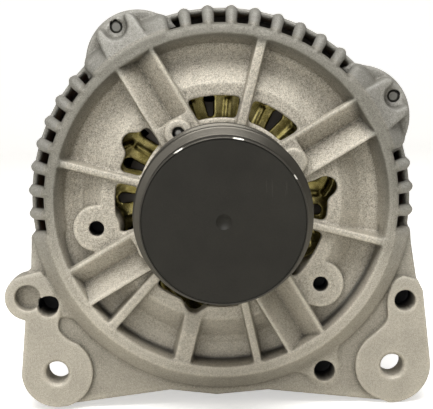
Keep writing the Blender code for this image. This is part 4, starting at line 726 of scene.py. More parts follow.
def driveEndField(x, y, z):
    # a turned section of hub, dish, ring and rim; then each form in turn, joined as the lower distance or cut
    # as the higher of the solid's and minus the hole's
    d = SimpleNamespace(**driveEnd)
    radius, bearing = np.hypot(x, z), np.degrees(np.arctan2(z, x))
    angle = bearing % 360
    ringOuter, cavity = d.ringInner + d.ringWidth, d.body - d.wall
    valleyR, valleyY = d.valley
    flatR, flatY = d.flat
    spigotR, spigotY = d.spigot[0], d.depth - d.spigot[1]
    section = [(d.hubHole, d.hubFront), (d.hub, d.hubFront), (d.hub, flatY), (flatR, flatY),
               (valleyR - 1.5, valleyY - 0.6), (valleyR + 1.5, valleyY),
               (d.ringInner - d.ringDraft, valleyY - 1), (d.ringInner, 0), (ringOuter, 0), d.shoulder,
               d.finTip, (d.finTip[0], d.finBack), (d.body, d.finBack), (d.body, d.depth),
               (spigotR, d.depth), (spigotR, spigotY), (cavity, spigotY), (cavity, valleyY + 4),
               (ringOuter - 1.5, valleyY), (valleyR, valleyY + d.plate), (flatR + 1, flatY + d.plate),
               (d.hub, flatY + d.plate), (d.hub, d.hubBack), (d.pocket, d.hubBack),
               (d.pocket, d.hubFront + d.hubLip), (d.hubHole, d.hubFront + d.hubLip)]
    solid = outlineDistance(radius, y, section)
    wallFoot = between(radius, valleyR + 1, d.ringInner - 0.3 - d.draft * y)
    steep = np.maximum(wallFoot, y - valleyY + 0.3)  # the ring's lower inner wall is steep
    solid = softMax(solid, -softMax(steep, (z - d.steepBelow) * 0.08, 1.5), 0.5)

    low, high = d.windowRadii  # air windows, with the round lobes in their outer edges
    windows = np.full(np.broadcast(x, z).shape, 1e3, np.float32)
    for start, end, lobe in d.windows:
        past = (np.abs(folded(angle, 360, (start + end) / 2)) - (end - start) / 2) * np.radians(radius)
        window = softMax(between(radius, low, high), past, 2.4)
        if lobe is not None:
            window = softMin(window, discAt(x, z, polar(high, lobe), d.lobe), 2.5)
        windows = np.minimum(windows, window)
    solid = cut(solid, windows, between(y, flatY - 4, flatY + 8), 0.3)

    toRing = (d.hub - 1, d.ringInner + 1)
    half, wall, floor = d.spokeHalf, d.troughWall, d.troughDepth + d.troughWall
    lip = half - d.spokeEdge
    for spoke in d.spokes:  # bars with a V trough between level edges, closed by a slope at the ring
        out, side = acrossFrom(x, z, spoke)
        bar = outlineDistance(side, y, [(-half + 0.5, 0), (half - 0.5, 0), (half, flatY + 1), (wall, floor),
                                        (-wall, floor), (-half, flatY + 1)])
        solid = softMin(solid, np.maximum(bar, between(out, *toRing)), 0.8)
        groove = ((np.abs(side) - lip) * d.troughDepth + y * lip) / math.hypot(lip, d.troughDepth)
        ends = np.maximum(d.screwCircle + d.screwBoss - out,
                          out - d.ringInner + 0.5 + np.maximum(y, 0) * 0.16)
        solid = cut(solid, groove, ends, 0.3)
        boss = np.hypot(out - d.screwCircle, side) - d.screwBoss
        solid = added(solid, boss, between(y, d.hubFront, d.hubBack), 1.0, 0.8)
        holeFront = d.hubFront + 0.9 if spoke == d.closedScrewHole else d.hubFront - 2
        solid = cut(solid, np.hypot(out - d.screwCircle, side) - d.screwHole, holeFront - y)

    draft = np.maximum(y, 0) * d.draft
    for rib, ribHalf in d.thinRibs:
        out, side = acrossFrom(x, z, rib)
        bar = np.maximum(np.abs(side) - ribHalf - draft, between(out, *toRing))
        solid = added(solid, bar, between(y, d.ribTop, valleyY), 0.5, 1.2)
    wideAngle, wideHalf, wideFrom = d.wideRib
    out, side = acrossFrom(x, z, wideAngle)
    bar = np.maximum(np.abs(side) - wideHalf - draft * 2, between(out, wideFrom - y * 0.1, toRing[1]))
    top = d.ribTop + np.maximum(d.wideRibFall[0] - out, 0) * d.wideRibFall[1]
    bar = softMax(bar, between(y - top, 0, valleyY), 0.5)
    solid = softMin(solid, softMax(bar, -windows, 0.3), 1.2)

    for pad in d.pads:  # round pads with a blind hole
        shape = np.maximum(discAt(x, z, pad, d.padRadius) - draft, between(y, flatY, flatY + 13))
        solid = softMin(solid, shape, 0.3)
        solid = cut(solid, discAt(x, z, pad, d.padHole), y - flatY - d.padDepth)

    bandR, bandY, bandOuter = d.band
    noseR = d.finTip[0] - d.finNose
    for centre, first, last in d.slots:  # round-nosed fins, with slots that open inwards below the rim's band
        past = radius * np.radians(offSlot(bearing, centre, d.slotPitch, first, last))
        side = np.abs(past) - d.slotHalf
        solid = cut(solid, np.maximum(side, ringOuter + d.slotFrom - radius), y - bandY, d.finRound)
        offFin = radius * math.radians(d.slotPitch / 2) - side - d.slotHalf
        nose = np.maximum(d.finNose - np.hypot(offFin, np.maximum(radius - noseR, 0)), -offFin)
        front = np.maximum(np.maximum(nose, noseR - radius), y - bandY)
        outer = np.maximum(np.maximum(nose, bandOuter - radius), y - d.finBack - 0.4)
        solid = softMax(solid, -np.minimum(front, outer), 0.6)
        opening = np.maximum(side, between(radius, ringOuter + d.slotFrom, bandR))
        solid = cut(solid, opening, y - d.slotBack)

    webFlat, leftFlat, rightFlat = (outlineDistance(x, z, outline) for outline in earOutlines(d))
    back, webFront = d.earFront + d.earThick, d.earFront + d.webStep
    solid = added(solid, webFlat, between(y, webFront, back - 1), 1.2, 1.4)
    for flat in (leftFlat, rightFlat):
        solid = added(solid, flat, between(y, d.earFront, back), 0.5, 0.4)

    bulgeR, bulgeRadius, bulgeFront, bulgeFrom = d.bulge
    hornHalf, hornStart, hornEnd = d.horns
    taperFrom, taperOut, taperDeep = d.hornTaper
    pocketR, pocketRadius, pocketFloor = d.boltPocket
    mouthY, mouthSlope, mouthSpread = d.pocketTaper
    for spoke in d.spokes:  # through-bolt bosses; the upper ones are broad, a pocket between two horns
        out, side = acrossFrom(x, z, spoke)
        reach = np.hypot(out - d.boltCircle, side)
        if spoke < 180:
            bulge = np.maximum(np.hypot(out - bulgeR, side) - bulgeRadius, bulgeFrom - out)
            solid = added(solid, bulge, between(y, bulgeFront, d.depth), 1.2, 1.0)
            block = np.abs(side) - hornHalf + (out - taperFrom) * taperOut - taperDeep * y
            block = softMax(block, between(out, hornStart, hornEnd), 3.4)
            front = d.hornFront[0] + np.maximum(out - taperFrom, 0) * d.hornFront[1]
            solid = added(solid, block, between(y - front, 0, d.hornBack), 1.2, 0.6)
            mouth = np.where(out < pocketR, np.hypot(out - pocketR, side),
                             np.abs(side) - (out - pocketR) * mouthSpread)
            pocket = softMax(mouth - pocketRadius + (y - mouthY) * mouthSlope, y - pocketFloor, 1.2)
            solid = softMax(solid, -pocket, 1.0)
            hole = reach - d.boltHole + 0.5 - np.clip(pocketFloor + 0.7 - y, 0, 0.9)
            hole = np.minimum(hole, np.maximum(reach - d.boltHole, pocketFloor + 1.4 - y))
        else:
            boss = softMin(reach - d.boltBoss, bossFoot(out, side, *d.foot), 5.0)
            solid = added(solid, boss, between(y, d.bossFront, d.depth), 1.2, 1.6)
            hole = reach - d.boltHole
        solid = softMax(solid, -hole, 0.3)

    deep = d.earFront + d.webHoleDepth
    for place in d.webHoles:  # deep blind holes in the web, each in its own boss behind it
        boss = np.maximum(discAt(x, z, place, d.webHoleRadius + d.webHoleWall),
                          between(y, webFront, deep + d.webHoleWall))
        solid = softMin(solid, boss, 0.8)
        solid = cut(solid, discAt(x, z, place, d.webHoleRadius), y - deep, 0.5)
    solid = cut(solid, discAt(x, z, d.blindBoss, d.blindRadii[1]), y - d.earFront - d.blindDepth, 0.5)
    for sign in (-1, 1):
        sink = np.maximum(0, d.earSink - d.earHoleRadius - (y - d.earFront))
        hole = discAt(x, z, (sign * d.earHole[0], d.earHole[1]), 0) - d.earHoleRadius - sink
        solid = np.maximum(solid, -hole)
    return np.maximum(solid, d.hubHole - radius)


def driveEndShade(x, y, z):
    # painted shade inside the housing, at the foot of the ring's lower wall, and down the deep holes: the
    # distance below each mouth, over a few mm
    d = SimpleNamespace(**driveEnd)
    radius = np.hypot(x, z)
    inside = np.clip((radius < d.band[0] + 0.3) * (y - d.valley[1] - 4.0) / 4.0, 0, 1)
    soot = inside * (radius > d.hub + 1)
    # a painted shade line where the ring's lower inner wall meets the dish, only towards the bottom
    ringFootShade = np.clip((radius - d.ringInner + 2.0) / 0.8, 0, 1) * (radius < d.ringInner + 0.6)
    ringFootShade = ringFootShade * np.clip((y - 4.0) / 2.0, 0, 1) * (y < d.valley[1] + 1.5)
    soot = np.maximum(soot, 0.72 * ringFootShade * np.clip((-z - 15) / 15, 0, 1))
    holes = [(discAt(x, z, hole, d.webHoleRadius) < 0.4, d.earFront + 2.5, 2.5) for hole in d.webHoles]
    holes += [(discAt(x, z, pad, d.padHole) < 0.4, d.flat[1] + 0.6, 1.5) for pad in d.pads]
    holes += [(discAt(x, z, polar(d.screwCircle, spoke), 2.5) < 0, d.hubFront + 0.4, 1.0)
              for spoke in d.spokes]
    for within, mouth, fade in holes:
        soot = np.maximum(soot, within * (y - mouth) / fade)
    return np.clip(soot, 0, 1)


castPiece("drive_end_casting", driveEndField, (-82.4, -6.2, -79.0), (82.4, 36.2, 80.6), (0.62, 0.7, 0.62),
          paints["cast"], "housing", "drive_end_housing", 196000, shadeOf=driveEndShade)

# Pulley and its cap

pulley = {"radius": 29.5, "front": -36.0, "width": 26.0, "grooves": 6, "pitch": 3.56, "depth": 2.6,
          "bore": 20.5, "recess": 24.9, "recessDepth": 4.5}


def pulleyProfile():
    # flanges with small radii, and between them grooves whose depth follows a flattened wave at the belt's
    # pitch: 1 on a crest, 0 in a groove
    p = SimpleNamespace(**pulley)
    back, recessY = p.front + p.width, p.front + p.recessDepth
    margin = (p.width - p.grooves * p.pitch) / 2
    t = np.linspace(0, p.grooves, p.grooves * 16 + 1)
    height = np.clip(np.abs((t % 1) - 0.5) * 2.32 - 0.04, 0.0, 0.94)
    grooves = [p.radius - p.depth + p.depth * height - 0.15, p.front + margin + t * p.pitch]
    front = [(p.recess, recessY), (p.recess, p.front), (p.recess + 1.7, p.front),
             (p.recess + 1.8, p.front + 0.25), (p.radius - 0.5, p.front + 1.1), (p.radius, p.front + 1.6),
             (p.radius, p.front + margin - 0.1)]
    rear = [(p.radius, back - margin + 0.1), (p.radius, back), (p.bore, back), (p.bore, recessY)]
    return np.concatenate([rounded(front, [0, 0.2, 0.1, 0.1, 0.2, 0.2, 0.2], False), np.stack(grooves, -1),
                           rounded(rear, [0.2, 0.5, 0.4, 0], False)])


turned("pulley_belt_ring", pulleyProfile(), paints["pulley"], "pulley", "pulley_ring",
       steps=192)

cap = {"radius": 26.7, "front": -47.4, "brim": -36.3, "skirt": 24.6, "skirtBack": -31.8, "wall": 1.8,
       "round": 0.55, "dimple": 2.5, "dimpleDepth": 1.1, "groove": (0.95, 0.88, 0.72, 0.62),
       "grooveDepth": 0.25}


def capProfile():
    # flat face with a dimple, a thin groove inside the rim, a small radius and a skirt
    c = SimpleNamespace(**cap)
    s = np.linspace(0, 1, 9)
    dimple = np.stack([c.dimple * s, c.front + c.dimpleDepth * (1 - s ** 2)], -1)
    face, floor = c.front + 0.05, c.front + 0.05 + c.grooveDepth
    groove = [(c.radius - inwards, y) for inwards, y in zip(c.groove, (face, floor, floor, face))]
    corner = arcPoints((c.radius - c.round, c.front + c.round), c.round, -90, 0, 6)
    inside = c.skirt - c.wall
    side = [(c.radius - 0.1, c.brim - 3.5), (c.radius, c.brim - 3.0), (c.radius, c.brim - 0.4),
            (c.radius - 0.3, c.brim), (c.skirt, c.brim), (c.skirt, c.skirtBack), (inside, c.skirtBack),
            (inside, c.front + 2 * c.wall), (0, c.front + 2 * c.wall)]
    return np.concatenate([dimple, [(c.dimple + 0.3, c.front + 0.02)], groove, corner, side])


turned("pulley_dust_cap", capProfile(), paints["capBlack"], "pulley", "pulley_cap",
       steps=192)
print("pulley made")

# Fans, pressed from sheet

fan = {"middle": 47.8, "disc": (-22.0, -20.8), "radius": 48.9, "bore": 11.4, "blades": 17,
       "bladeFrom": 38.7, "bladeTo": 47.8, "height": 9.2, "sweep": 26.0, "sheet": 1.2, "slots": (31.2, 36.9),
       "slotHalf": (1.0, 1.9), "slotShare": 0.47, "bead": (29.5, 36.5, 0.9, 0.35)}


def fanField(front):
    def field(x, y, z):
        # the sheet, with a bead towards each blade and on the front fan a slot between two beads, and blades
        # that lean back: their angle is sweep ((r - from) / (to - from))^1.4
        f = SimpleNamespace(**fan)
        along = (y - f.middle) * (1 if front else -1)
        radius = np.hypot(x, z)
        pitch = 360 / f.blades
        angle = np.degrees(np.arctan2(z, x if front else -x))
        span = f.bladeTo - f.bladeFrom
        share = np.clip((radius - f.bladeFrom) / span, 0, 1)
        lean = np.radians(f.sweep) * 1.4 * share ** 0.4 / span * radius
        off = folded(angle, pitch, f.sweep * share ** 1.4)
        across = np.abs(radius * np.radians(off)) / np.sqrt(1 + lean ** 2) - f.sheet / 2
        depth = between(along, f.disc[0] - f.height, f.disc[0] + 0.6)
        blade = softMax(across, np.maximum(between(radius, f.bladeFrom, f.bladeTo), depth), 0.5)
        sheet = np.maximum(between(radius, f.bore, f.radius), between(along, *f.disc))
        if front:
            out, side = outAndSide(radius, folded(angle, pitch, -f.slotShare * pitch))
            low, high = f.slots
            share = np.clip((out - low) / (high - low), 0, 1)
            half = f.slotHalf[0] + (f.slotHalf[1] - f.slotHalf[0]) * share
            sheet = softMax(sheet, -(ballPast(out, low, high, side) - half), 0.6)
        out, side = outAndSide(radius, folded(angle, pitch))
        low, high, half, rise = f.bead
        bead = np.hypot(ballPast(out, low, high, side), (along - f.disc[0]) * half / rise) - half
        return softMin(softMin(sheet, bead, 0.8), blade, 1.2)
    return field


for front, name, node, ends in ((True, "front_fan_pressing", "front_fan", (16.2, 27.4)),
                                (False, "rear_fan_pressing", "rear_fan", (68.2, 79.4))):
    castPiece(name, fanField(front), (-49.6, ends[0], -49.6), (49.6, ends[1], 49.6), (0.5, 0.4, 0.5),
              paints["chromate"], "rotor", node, 60000, sharpDeg=40)

# Rear housing

rear = {"front": 61.6, "back": 87.6, "body": 69.8, "wall": 4.2, "end": 4.0, "chamfer": 5.0, "spigot": 68.3,
        "spigotDeep": 4.0, "hub": 21.5, "hubInto": 4.5, "hubOut": 6.0, "pocket": 17.8, "lip": 1.2,
        "bore": 9.5, "lug": 6.2, "foot": (9.0, 66.5), "boltCircle": 73.2, "lugEnd": 78.1, "bolt": 2.8,
        "seat": 5.2, "posts": (35, 145, 270),
        "postCircle": 49.19, "postRadius": 3.2, "postEnd": 113.1, "postHole": 2.2, "postHoleDeep": 4.0,
        "windowR": (25.0, 46.07), "windowPitch": 60.0, "windowEdge": 7.0, "slots": (75, -2, 2),
        "slotPitch": 11.0, "slotGroups": 90, "slotHalf": 3.5}


def rearHousingField(x, y, z):
    # a bell with a flat end, a bearing boss, six windows, rim slots in four groups, lugs and posts
    d = SimpleNamespace(**rear)
    radius, angle = np.hypot(x, z), np.degrees(np.arctan2(z, x)) % 360
    wallY, cavity, hubEnd = d.back - d.end, d.body - d.wall, d.back + d.hubOut
    spigotY, hubStart = d.front + d.spigotDeep, wallY - d.hubInto
    section = [(d.spigot, d.front), (d.body, d.front), (d.body, d.back - d.chamfer),
               (d.body - 1.5, d.back - 1.5), (d.body - d.chamfer, d.back), (d.hub, d.back),
               (d.hub - 0.5, hubEnd), (d.bore, hubEnd), (d.bore, hubEnd - d.lip), (d.pocket, hubEnd - d.lip),
               (d.pocket, hubStart), (d.hub, hubStart), (d.hub, wallY), (cavity - d.chamfer, wallY),
               (cavity, wallY - d.chamfer), (cavity, spigotY), (d.spigot, spigotY)]
    solid = outlineDistance(radius, y, section)
    bolts = [acrossFrom(x, z, spoke) for spoke in driveEnd["spokes"]]
    posts = [acrossFrom(x, z, post) for post in d.posts]
    for out, side in bolts:
        lug = softMin(np.hypot(out - d.boltCircle, side) - d.lug, bossFoot(out, side, *d.foot), 4.0)
        solid = added(solid, lug, between(y, d.front, d.lugEnd), 1.2, 1.2)
    for out, side in posts:
        pillar = np.hypot(out - d.postCircle, side) - d.postRadius
        solid = softMin(solid, np.maximum(pillar, between(y, wallY + 1, d.postEnd)), 1.0)
    half = d.windowPitch / 2
    past = (np.abs((angle % d.windowPitch) - half) - (half - d.windowEdge)) * np.radians(radius)
    window = softMax(between(radius, *d.windowR), past, 3.0)
    solid = cut(solid, window, between(y, wallY - 1.5, d.back + 2), 0.8)
    centre, first, last = d.slots
    off = offSlot(angle, centre, d.slotPitch, first, last, d.slotGroups)
    slotDepth = np.maximum(cavity - d.chamfer - radius, between(y, wallY - 10, d.back - 1.4))
    slot = softMax(np.abs(radius * np.radians(off)) - d.slotHalf, slotDepth, 3.0)
    solid = softMax(solid, -slot, 0.8)
    for out, side in bolts:
        reach = np.hypot(out - d.boltCircle, side)
        solid = softMax(solid, -(reach - d.bolt), 0.3)
        solid = cut(solid, reach - d.seat, d.lugEnd - y, 0.4)
    for out, side in posts:
        hole = np.hypot(out - d.postCircle, side) - d.postHole
        solid = cut(solid, hole, d.back + d.postHoleDeep - y)
    return solid


castPiece("slip_ring_end_casting", rearHousingField, (-80.2, 60.4, -80.2), (80.2, 114.4, 80.2),
          (0.8, 0.8, 0.8), paints["cast"], "housing", "slip_ring_end_housing", 120000)

# Rear cover, moulded

cover = {"radius": 58.0, "front": 87.9, "back": 115.4, "wall": 2.0, "round": 5.0, "vents": (16.0, 40.0),
         "ventHalf": 1.8, "ventPitch": 30, "screws": (35, 145, 270), "screwCircle": 49.19, "screwHole": 2.2,
         "stud": (39.99, 218), "studHole": 9.0, "studClear": 20, "way": (5.65, 30.85, 101.65),
         "wayGap": 0.6, "wayFloor": 38.0}


def coverField(x, y, z):
    # a cup with a rounded brim: vents on spokes, screw holes, a hole round the stud and a way for the plug
    d = SimpleNamespace(**cover)
    radius, angle = np.hypot(x, z), np.degrees(np.arctan2(z, x)) % 360
    r, back, rim = d.radius, d.back, d.round
    outer = arcPoints((r - rim, back - rim), rim, 90, 0, 5)
    inner = arcPoints((r - rim, back - rim), rim - d.wall, 0, 90, 5)
    section = [(0, back), *outer, (r, d.front), (r - d.wall, d.front), *inner, (0, back - d.wall)]
    solid = outlineDistance(radius, y, section)
    out, side = outAndSide(radius, folded(angle, d.ventPitch))
    low, high = d.vents
    holes = ballPast(out, low + d.ventHalf, high - d.ventHalf, side) - d.ventHalf
    ventAngle = np.round(angle / d.ventPitch) * d.ventPitch
    holes = np.where(np.abs(folded(ventAngle, 360, d.stud[1])) > d.studClear, holes, 9.0)
    for screw in d.screws:
        holes = np.minimum(holes, discAt(x, z, polar(d.screwCircle, screw), d.screwHole))
    holes = np.minimum(holes, discAt(x, z, polar(*d.stud), d.studHole))
    solid = cut(solid, holes, between(y, back - d.wall - 1, back + 1), 0.5)
    x0, x1, yEnd = d.way
    way = np.maximum(between(x, x0 - d.wayGap, x1), between(y, d.front - 1, yEnd + d.wayGap))
    return cut(solid, way, d.wayFloor - z, 0.5)


castPiece("rear_cover_moulding", coverField, (-59.2, 86.4, -59.2), (59.2, 116.4, 59.2), (0.62, 0.6, 0.62),
          paints["black"], "housing", "rear_cover", 60000, sharpDeg=40)
print("castings, fans and cover made")

# Stator

stator = {"outer": 68.0, "front": 30.3, "back": 65.3, "bore": 50.18, "slotR": 60.5, "slots": 36,
          "slotHalf": 2.28, "welds": 6, "weldDip": (0.9, 1.6), "weldBead": (0.6, 0.7), "edge": 0.3,
          "winding": (52.2, 63.3), "ends": ((20.4, 30.0), (65.6, 75.2)), "bar": (52.4, 60.1, 1.9),
          "barY": (26.0, 69.6)}


def coreRows(d, steps):
    # the bore steps out to the slot radius in every slot; outside, a dip at each weld with a bead in it
    t = np.degrees(math.tau * np.arange(steps) / steps)
    pitch = 360 / d.slots
    slotAngle = np.abs(t % pitch - pitch / 2) * math.radians(1) * d.bore
    inner = np.where(slotAngle < d.slotHalf, d.slotR, d.bore)
    weld = np.abs((t + 15) % (360 / d.welds) - 180 / d.welds)
    outer = d.outer - d.weldDip[0] * np.clip(d.weldDip[1] - weld, 0, 1)
    outer = outer + d.weldBead[0] * np.clip(d.weldBead[1] - weld, 0, 1)
    return [(outer - d.edge, d.front), (outer, d.front + d.edge), (outer, d.back - d.edge),
            (outer - d.edge, d.back), (inner, d.back), (inner, d.front)]


def windingEnd(d, front, back, steps):
    # a rounded ring of bundles: each strand leans, as the section's half size swells by cos(36 t + 3 s)
    t = math.tau * np.arange(steps) / steps
    s = math.tau * np.arange(30)[:, None] / 30
    low, high = d.winding
    lump = 1 - 0.10 * (0.5 + 0.5 * np.cos(d.slots * t + 3 * s))
    lump = lump - 0.03 * (0.5 + 0.5 * np.cos(3 * d.slots * t + 9 * s))
    c, q = np.cos(s), np.sin(s)
    swell = lump / (np.abs(c) ** 5 + np.abs(q) ** 5) ** 0.2
    radius = (low + high) / 2 + (high - low) / 2 * swell * c
    return radius, (front + back) / 2 + (back - front) / 2 * swell * q


def windingBars(d):
    # one rounded bar in every slot: |u/a|^8 + |v/b|^8 = 1 across, closed at both ends
    around = 16
    s = math.tau * np.arange(around) / around
    c, q = np.cos(s), np.sin(s)
    swell = 1 / (np.abs(c) ** 8 + np.abs(q) ** 8) ** 0.125
    low, high, half = d.bar
    front, back = d.barY
    share = np.array([0.0, 0.96, 1.0, 1.0, 0.96, 0.0])[:, None]
    y = np.array([front, front, front + d.edge, back - d.edge, back, back])[:, None]
    out = (low + high) / 2 + (high - low) / 2 * swell * c * share
    side = half * swell * q * share
    angle = math.tau * (np.arange(d.slots) + 0.5)[:, None, None] / d.slots
    x = out * np.cos(angle) - side * np.sin(angle)
    z = out * np.sin(angle) + side * np.cos(angle)
    points = np.stack([x, np.broadcast_to(y, x.shape), z], -1).reshape(-1, 3)
    bar = gridFaces(len(share), around)
    faces = bar[None] + len(share) * around * np.arange(d.slots)[:, None, None]
    meshPiece("winding_bars", points, faces.reshape(-1, 4), paints["copper"], "housing", "stator_winding")


def addStator(d):
    # the stack of sheets, the two winding ends and the bars between them
    turned("stator_lamination_stack", coreRows(d, d.slots * 16), paints["laminate"], "housing",
           "stator_core", steps=d.slots * 16)
    for which, (front, back) in zip(("front", "rear"), d.ends):
        turned(f"winding_end_{which}", [windingEnd(d, front, back, d.slots * 14)], paints["copper"],
               "housing", "stator_winding", steps=d.slots * 14)
    windingBars(d)


addStator(SimpleNamespace(**stator))
print("stator made")

# Screws, bolts, stud and nut

bolt = {"shank": 2.25, "headR": 4.6, "headHeight": 4.5, "hexHead": True, "pitch": 1.0, "bevelTip": 0.75,
        "paint": "boltSteel", "recess": 1.9, "headY": 78.4, "tips": (12.0, 12.0, 22.0, 22.0)}
screw = {"shank": 1.9, "headR": 3.4, "headHeight": 1.8, "hexHead": False, "pitch": 0.8, "bevelTip": 0.9,
         "paint": "steel", "recess": 1.9, "plateY": (-2.0, 15.7), "coverY": (95.6, 115.7)}
terminal = {"radius": 4.0, "front": 93.0, "threadFrom": 104.0, "end": 127.4, "pitch": 1.25, "bevel": 0.5,
            "nutR": 7.5, "nutShare": 0.86, "nutY": (115.7, 121.7), "nutHole": 5.0}


def hexagon(radius, share, steps):
    # the radius of a circle turned towards that of a hexagon round it: r cos 30 / cos(t folded to 30 degrees)
    t = np.degrees(math.tau * np.arange(steps) / steps) % 60 - 30
    return radius * (1 - share + share * math.cos(math.pi / 6) / np.cos(np.radians(t)))


def threadRows(radius, start, end, pitch, depth, steps):
    # a screw thread: the radius falls by depth |2 frac(y / pitch - t / turn) - 1| round and along it
    rows = max(2, int(abs(end - start) / pitch * 6))
    y = np.linspace(start, end, rows)[:, None] + np.zeros(steps)
    phase = (y / pitch - np.arange(steps) / steps) % 1
    fade = np.minimum(np.abs(y - start), np.abs(y - end)) / pitch
    return radius - depth * np.abs(2 * phase - 1) * np.clip(fade, 0, 1), y


def fastener(name, node, place, tipY, headY, size):
    # from its chamfered tip along a thread to the head, which has a bevel and a hexagon socket
    f, steps = SimpleNamespace(**size), 72
    bevel, top, chamfer, threadGap = 0.10 * f.headR, headY + f.headHeight, 0.2, 0.8
    share, flatShare, socket = (1.0, 0.87, 0.0) if f.hexHead else (0.0, 1.0, 0.55 * f.headHeight)
    side, recess = hexagon(f.headR, share, steps), hexagon(f.recess, 1.0, steps)
    thread = threadRows(f.shank, tipY + threadGap, headY - 0.5, f.pitch, 0.6 * f.pitch, steps)
    rows = [(0, tipY), (f.shank - f.bevelTip, tipY), (f.shank - 0.1, tipY + 0.7), thread, (f.shank, headY),
            (hexagon(f.headR - chamfer, share, steps), headY), (side, headY + chamfer), (side, top - bevel),
            ((f.headR - bevel) * flatShare, top), (recess, top), (recess, top - socket), (0, top - socket)]
    turned(name, rows, paints[f.paint], "housing", node, place, steps, False, 32)


for i, (angle, tip) in enumerate(zip(driveEnd["spokes"], bolt["tips"]), 1):
    boltPlace, screwPlace = polar(driveEnd["boltCircle"], angle), polar(driveEnd["screwCircle"], angle)
    fastener(f"housing_bolt_{i}", f"through_bolt_{i}", boltPlace, tip, bolt["headY"], bolt)
    fastener(f"plate_screw_{i}", f"retainer_screw_{i}", screwPlace, *screw["plateY"], screw)
for i, angle in enumerate(cover["screws"], 1):
    screwPlace = polar(cover["screwCircle"], angle)
    fastener(f"cover_bolt_{i}", f"cover_screw_{i}", screwPlace, *screw["coverY"], screw)


def studAndNut():
    # a threaded stud with chamfered ends, and a bevelled hexagon nut with a threaded bore round it
    s, steps, place = SimpleNamespace(**terminal), 96, polar(*cover["stud"])
    thread = threadRows(s.radius - 0.05, s.threadFrom, s.end - 0.8, s.pitch, 0.7, steps)
    rows = [(0, s.front), (s.radius - s.bevel, s.front), (s.radius, s.front + s.bevel),
            (s.radius, s.threadFrom - s.bevel), thread, (s.radius - 0.7, s.end), (0, s.end)]
    turned("output_terminal_stud", rows, paints["steel"], "housing", "output_stud", place,
           steps, closed=False)
    low, high = s.nutY
    side, flatR = hexagon(s.nutR, 1.0, steps), s.nutR * s.nutShare
    bore = [part[::-1] for part in threadRows(4.75, low + s.bevel, high - s.bevel, s.pitch, 0.4, steps)]
    rows = [(flatR, low), (side, low + 0.6), (side, high - 0.7), (flatR, high), (s.nutHole, high), bore,
            (s.nutHole, low)]
    turned("output_terminal_nut", rows, paints["steel"], "housing", "output_stud_nut", place,
           steps, sharpDeg=28)


studAndNut()

# Turned parts on the shaft: name, CAD node, paint, body, corner radius, outline as (radius, y)

turnedParts = [
    ("front_race_outer", "front_bearing_outer_race", "steel", "housing", 0.6,
     [(19.5, -0.7), (23.5, -0.7), (23.5, 13.3), (19.5, 13.3)]),
    ("front_race_inner", "front_bearing_inner_race", "steel", "rotor", 0.5,
     [(8.8, -0.7), (11.7, -0.7), (11.7, 13.3), (8.8, 13.3)]),
    ("rear_race_outer", "rear_bearing_outer_race", "steel", "housing", 0.5,
     [(14.9, 81.1), (17.5, 81.1), (17.5, 92.1), (14.9, 92.1)]),
    ("rear_race_inner", "rear_bearing_inner_race", "steel", "rotor", 0.4,
     [(7.8, 81.1), (9.7, 81.1), (9.7, 92.1), (7.8, 92.1)]),
    ("shaft_turned", "rotor_shaft", "steel", "rotor", 0.5,
     [(0, -34.0), (7.0, -34.0), (8.0, -33.0), (8.0, -0.7), (8.5, -0.7), (8.5, 13.6), (11.0, 13.6),
      (11.0, 80.8), (7.5, 80.8), (7.5, 93.6), (4.8, 94.6), (4.8, 112.0), (0, 112.0)]),
    ("spacer_collar", "shaft_spacer", "steel", "rotor", 0.4,
     [(11.3, 13.9), (14.0, 13.9), (14.0, 25.5), (11.3, 25.5)]),
    ("coil_bobbin", "field_coil_bobbin", "black", "rotor", 0.4,
     [(35.9, 37.6), (35.9, 39.0), (25.7, 39.0), (25.7, 56.6), (35.9, 56.6), (35.9, 58.0), (24.3, 58.0),
      (24.3, 37.6)]),
    ("exciter_coil", "field_coil", "fieldCopper", "rotor", 0.8,
     [(26.0, 39.3), (35.1, 39.3), (35.1, 56.3), (26.0, 56.3)]),
    ("ring_sleeve", "slip_ring_sleeve", "black", "rotor", 0.3,
     [(5.1, 95.3), (6.6, 95.3), (6.6, 111.0), (5.1, 111.0)]),
    ("slip_ring_front", "slip_ring_1", "slipCopper", "rotor", 0.3,
     [(6.9, 97.0), (8.2, 97.0), (8.2, 102.5), (6.9, 102.5)]),
    ("slip_ring_back", "slip_ring_2", "slipCopper", "rotor", 0.3,
     [(6.9, 104.5), (8.2, 104.5), (8.2, 110.0), (6.9, 110.0)]),
    ("pulley_inner_hub", "pulley_hub", "steel", "rotor", 0.5,
     [(8.3, -31.8), (12.49, -31.8), (12.49, -29.8), (14.3, -29.8), (14.3, -10.0), (12.49, -10.0),
      (12.49, -1.0), (8.3, -1.0)]),
    ("clutch_sleeve", "pulley_clutch", "steel", "rotor", 0.4,
     [(20.2, -28.8), (20.2, -23.5), (19.6, -23.5), (19.6, -18.3), (20.2, -18.3), (20.2, -13.0),
      (14.6, -13.0), (14.6, -28.8)]),
    ("pulley_back_seal", "pulley_seal", "rubber", "pulley", 0.4,
     [(14.6, -12.5), (20.2, -12.5), (20.2, -10.3), (14.6, -10.3)]),
]
for name, node, paint, body, corner, outline in turnedParts:
    profile = rounded(outline, corner, outline[0][0] > 0, 3)
    turned(name, profile, paints[paint], body, node, steps=128)


def beadedRing(middleR, middleY, ball, count, steps):
    # a wire ring that swells to a ball at each bead: half size max(wire, sqrt(ball^2 - along^2))
    along = (np.arange(steps) * count / steps % 1 - 0.5) * math.tau * middleR / count
    reach = np.maximum(0.4 * ball, np.sqrt(np.maximum(ball ** 2 - along ** 2, 0)))
    s = math.tau * np.arange(20)[:, None] / 20
    return middleR + reach * np.cos(s), middleY + reach * np.sin(s)


for end, middleR, middleY, ball in (("front", 15.6, 6.3, 3.55), ("rear", 12.3, 86.6, 2.25)):
    ring = [beadedRing(middleR, middleY, ball, 7, 280)]
    turned(f"{end}_balls", ring, paints["steel"], f"{end}_ball_cage", f"{end}_bearing_ball_cage", steps=280)

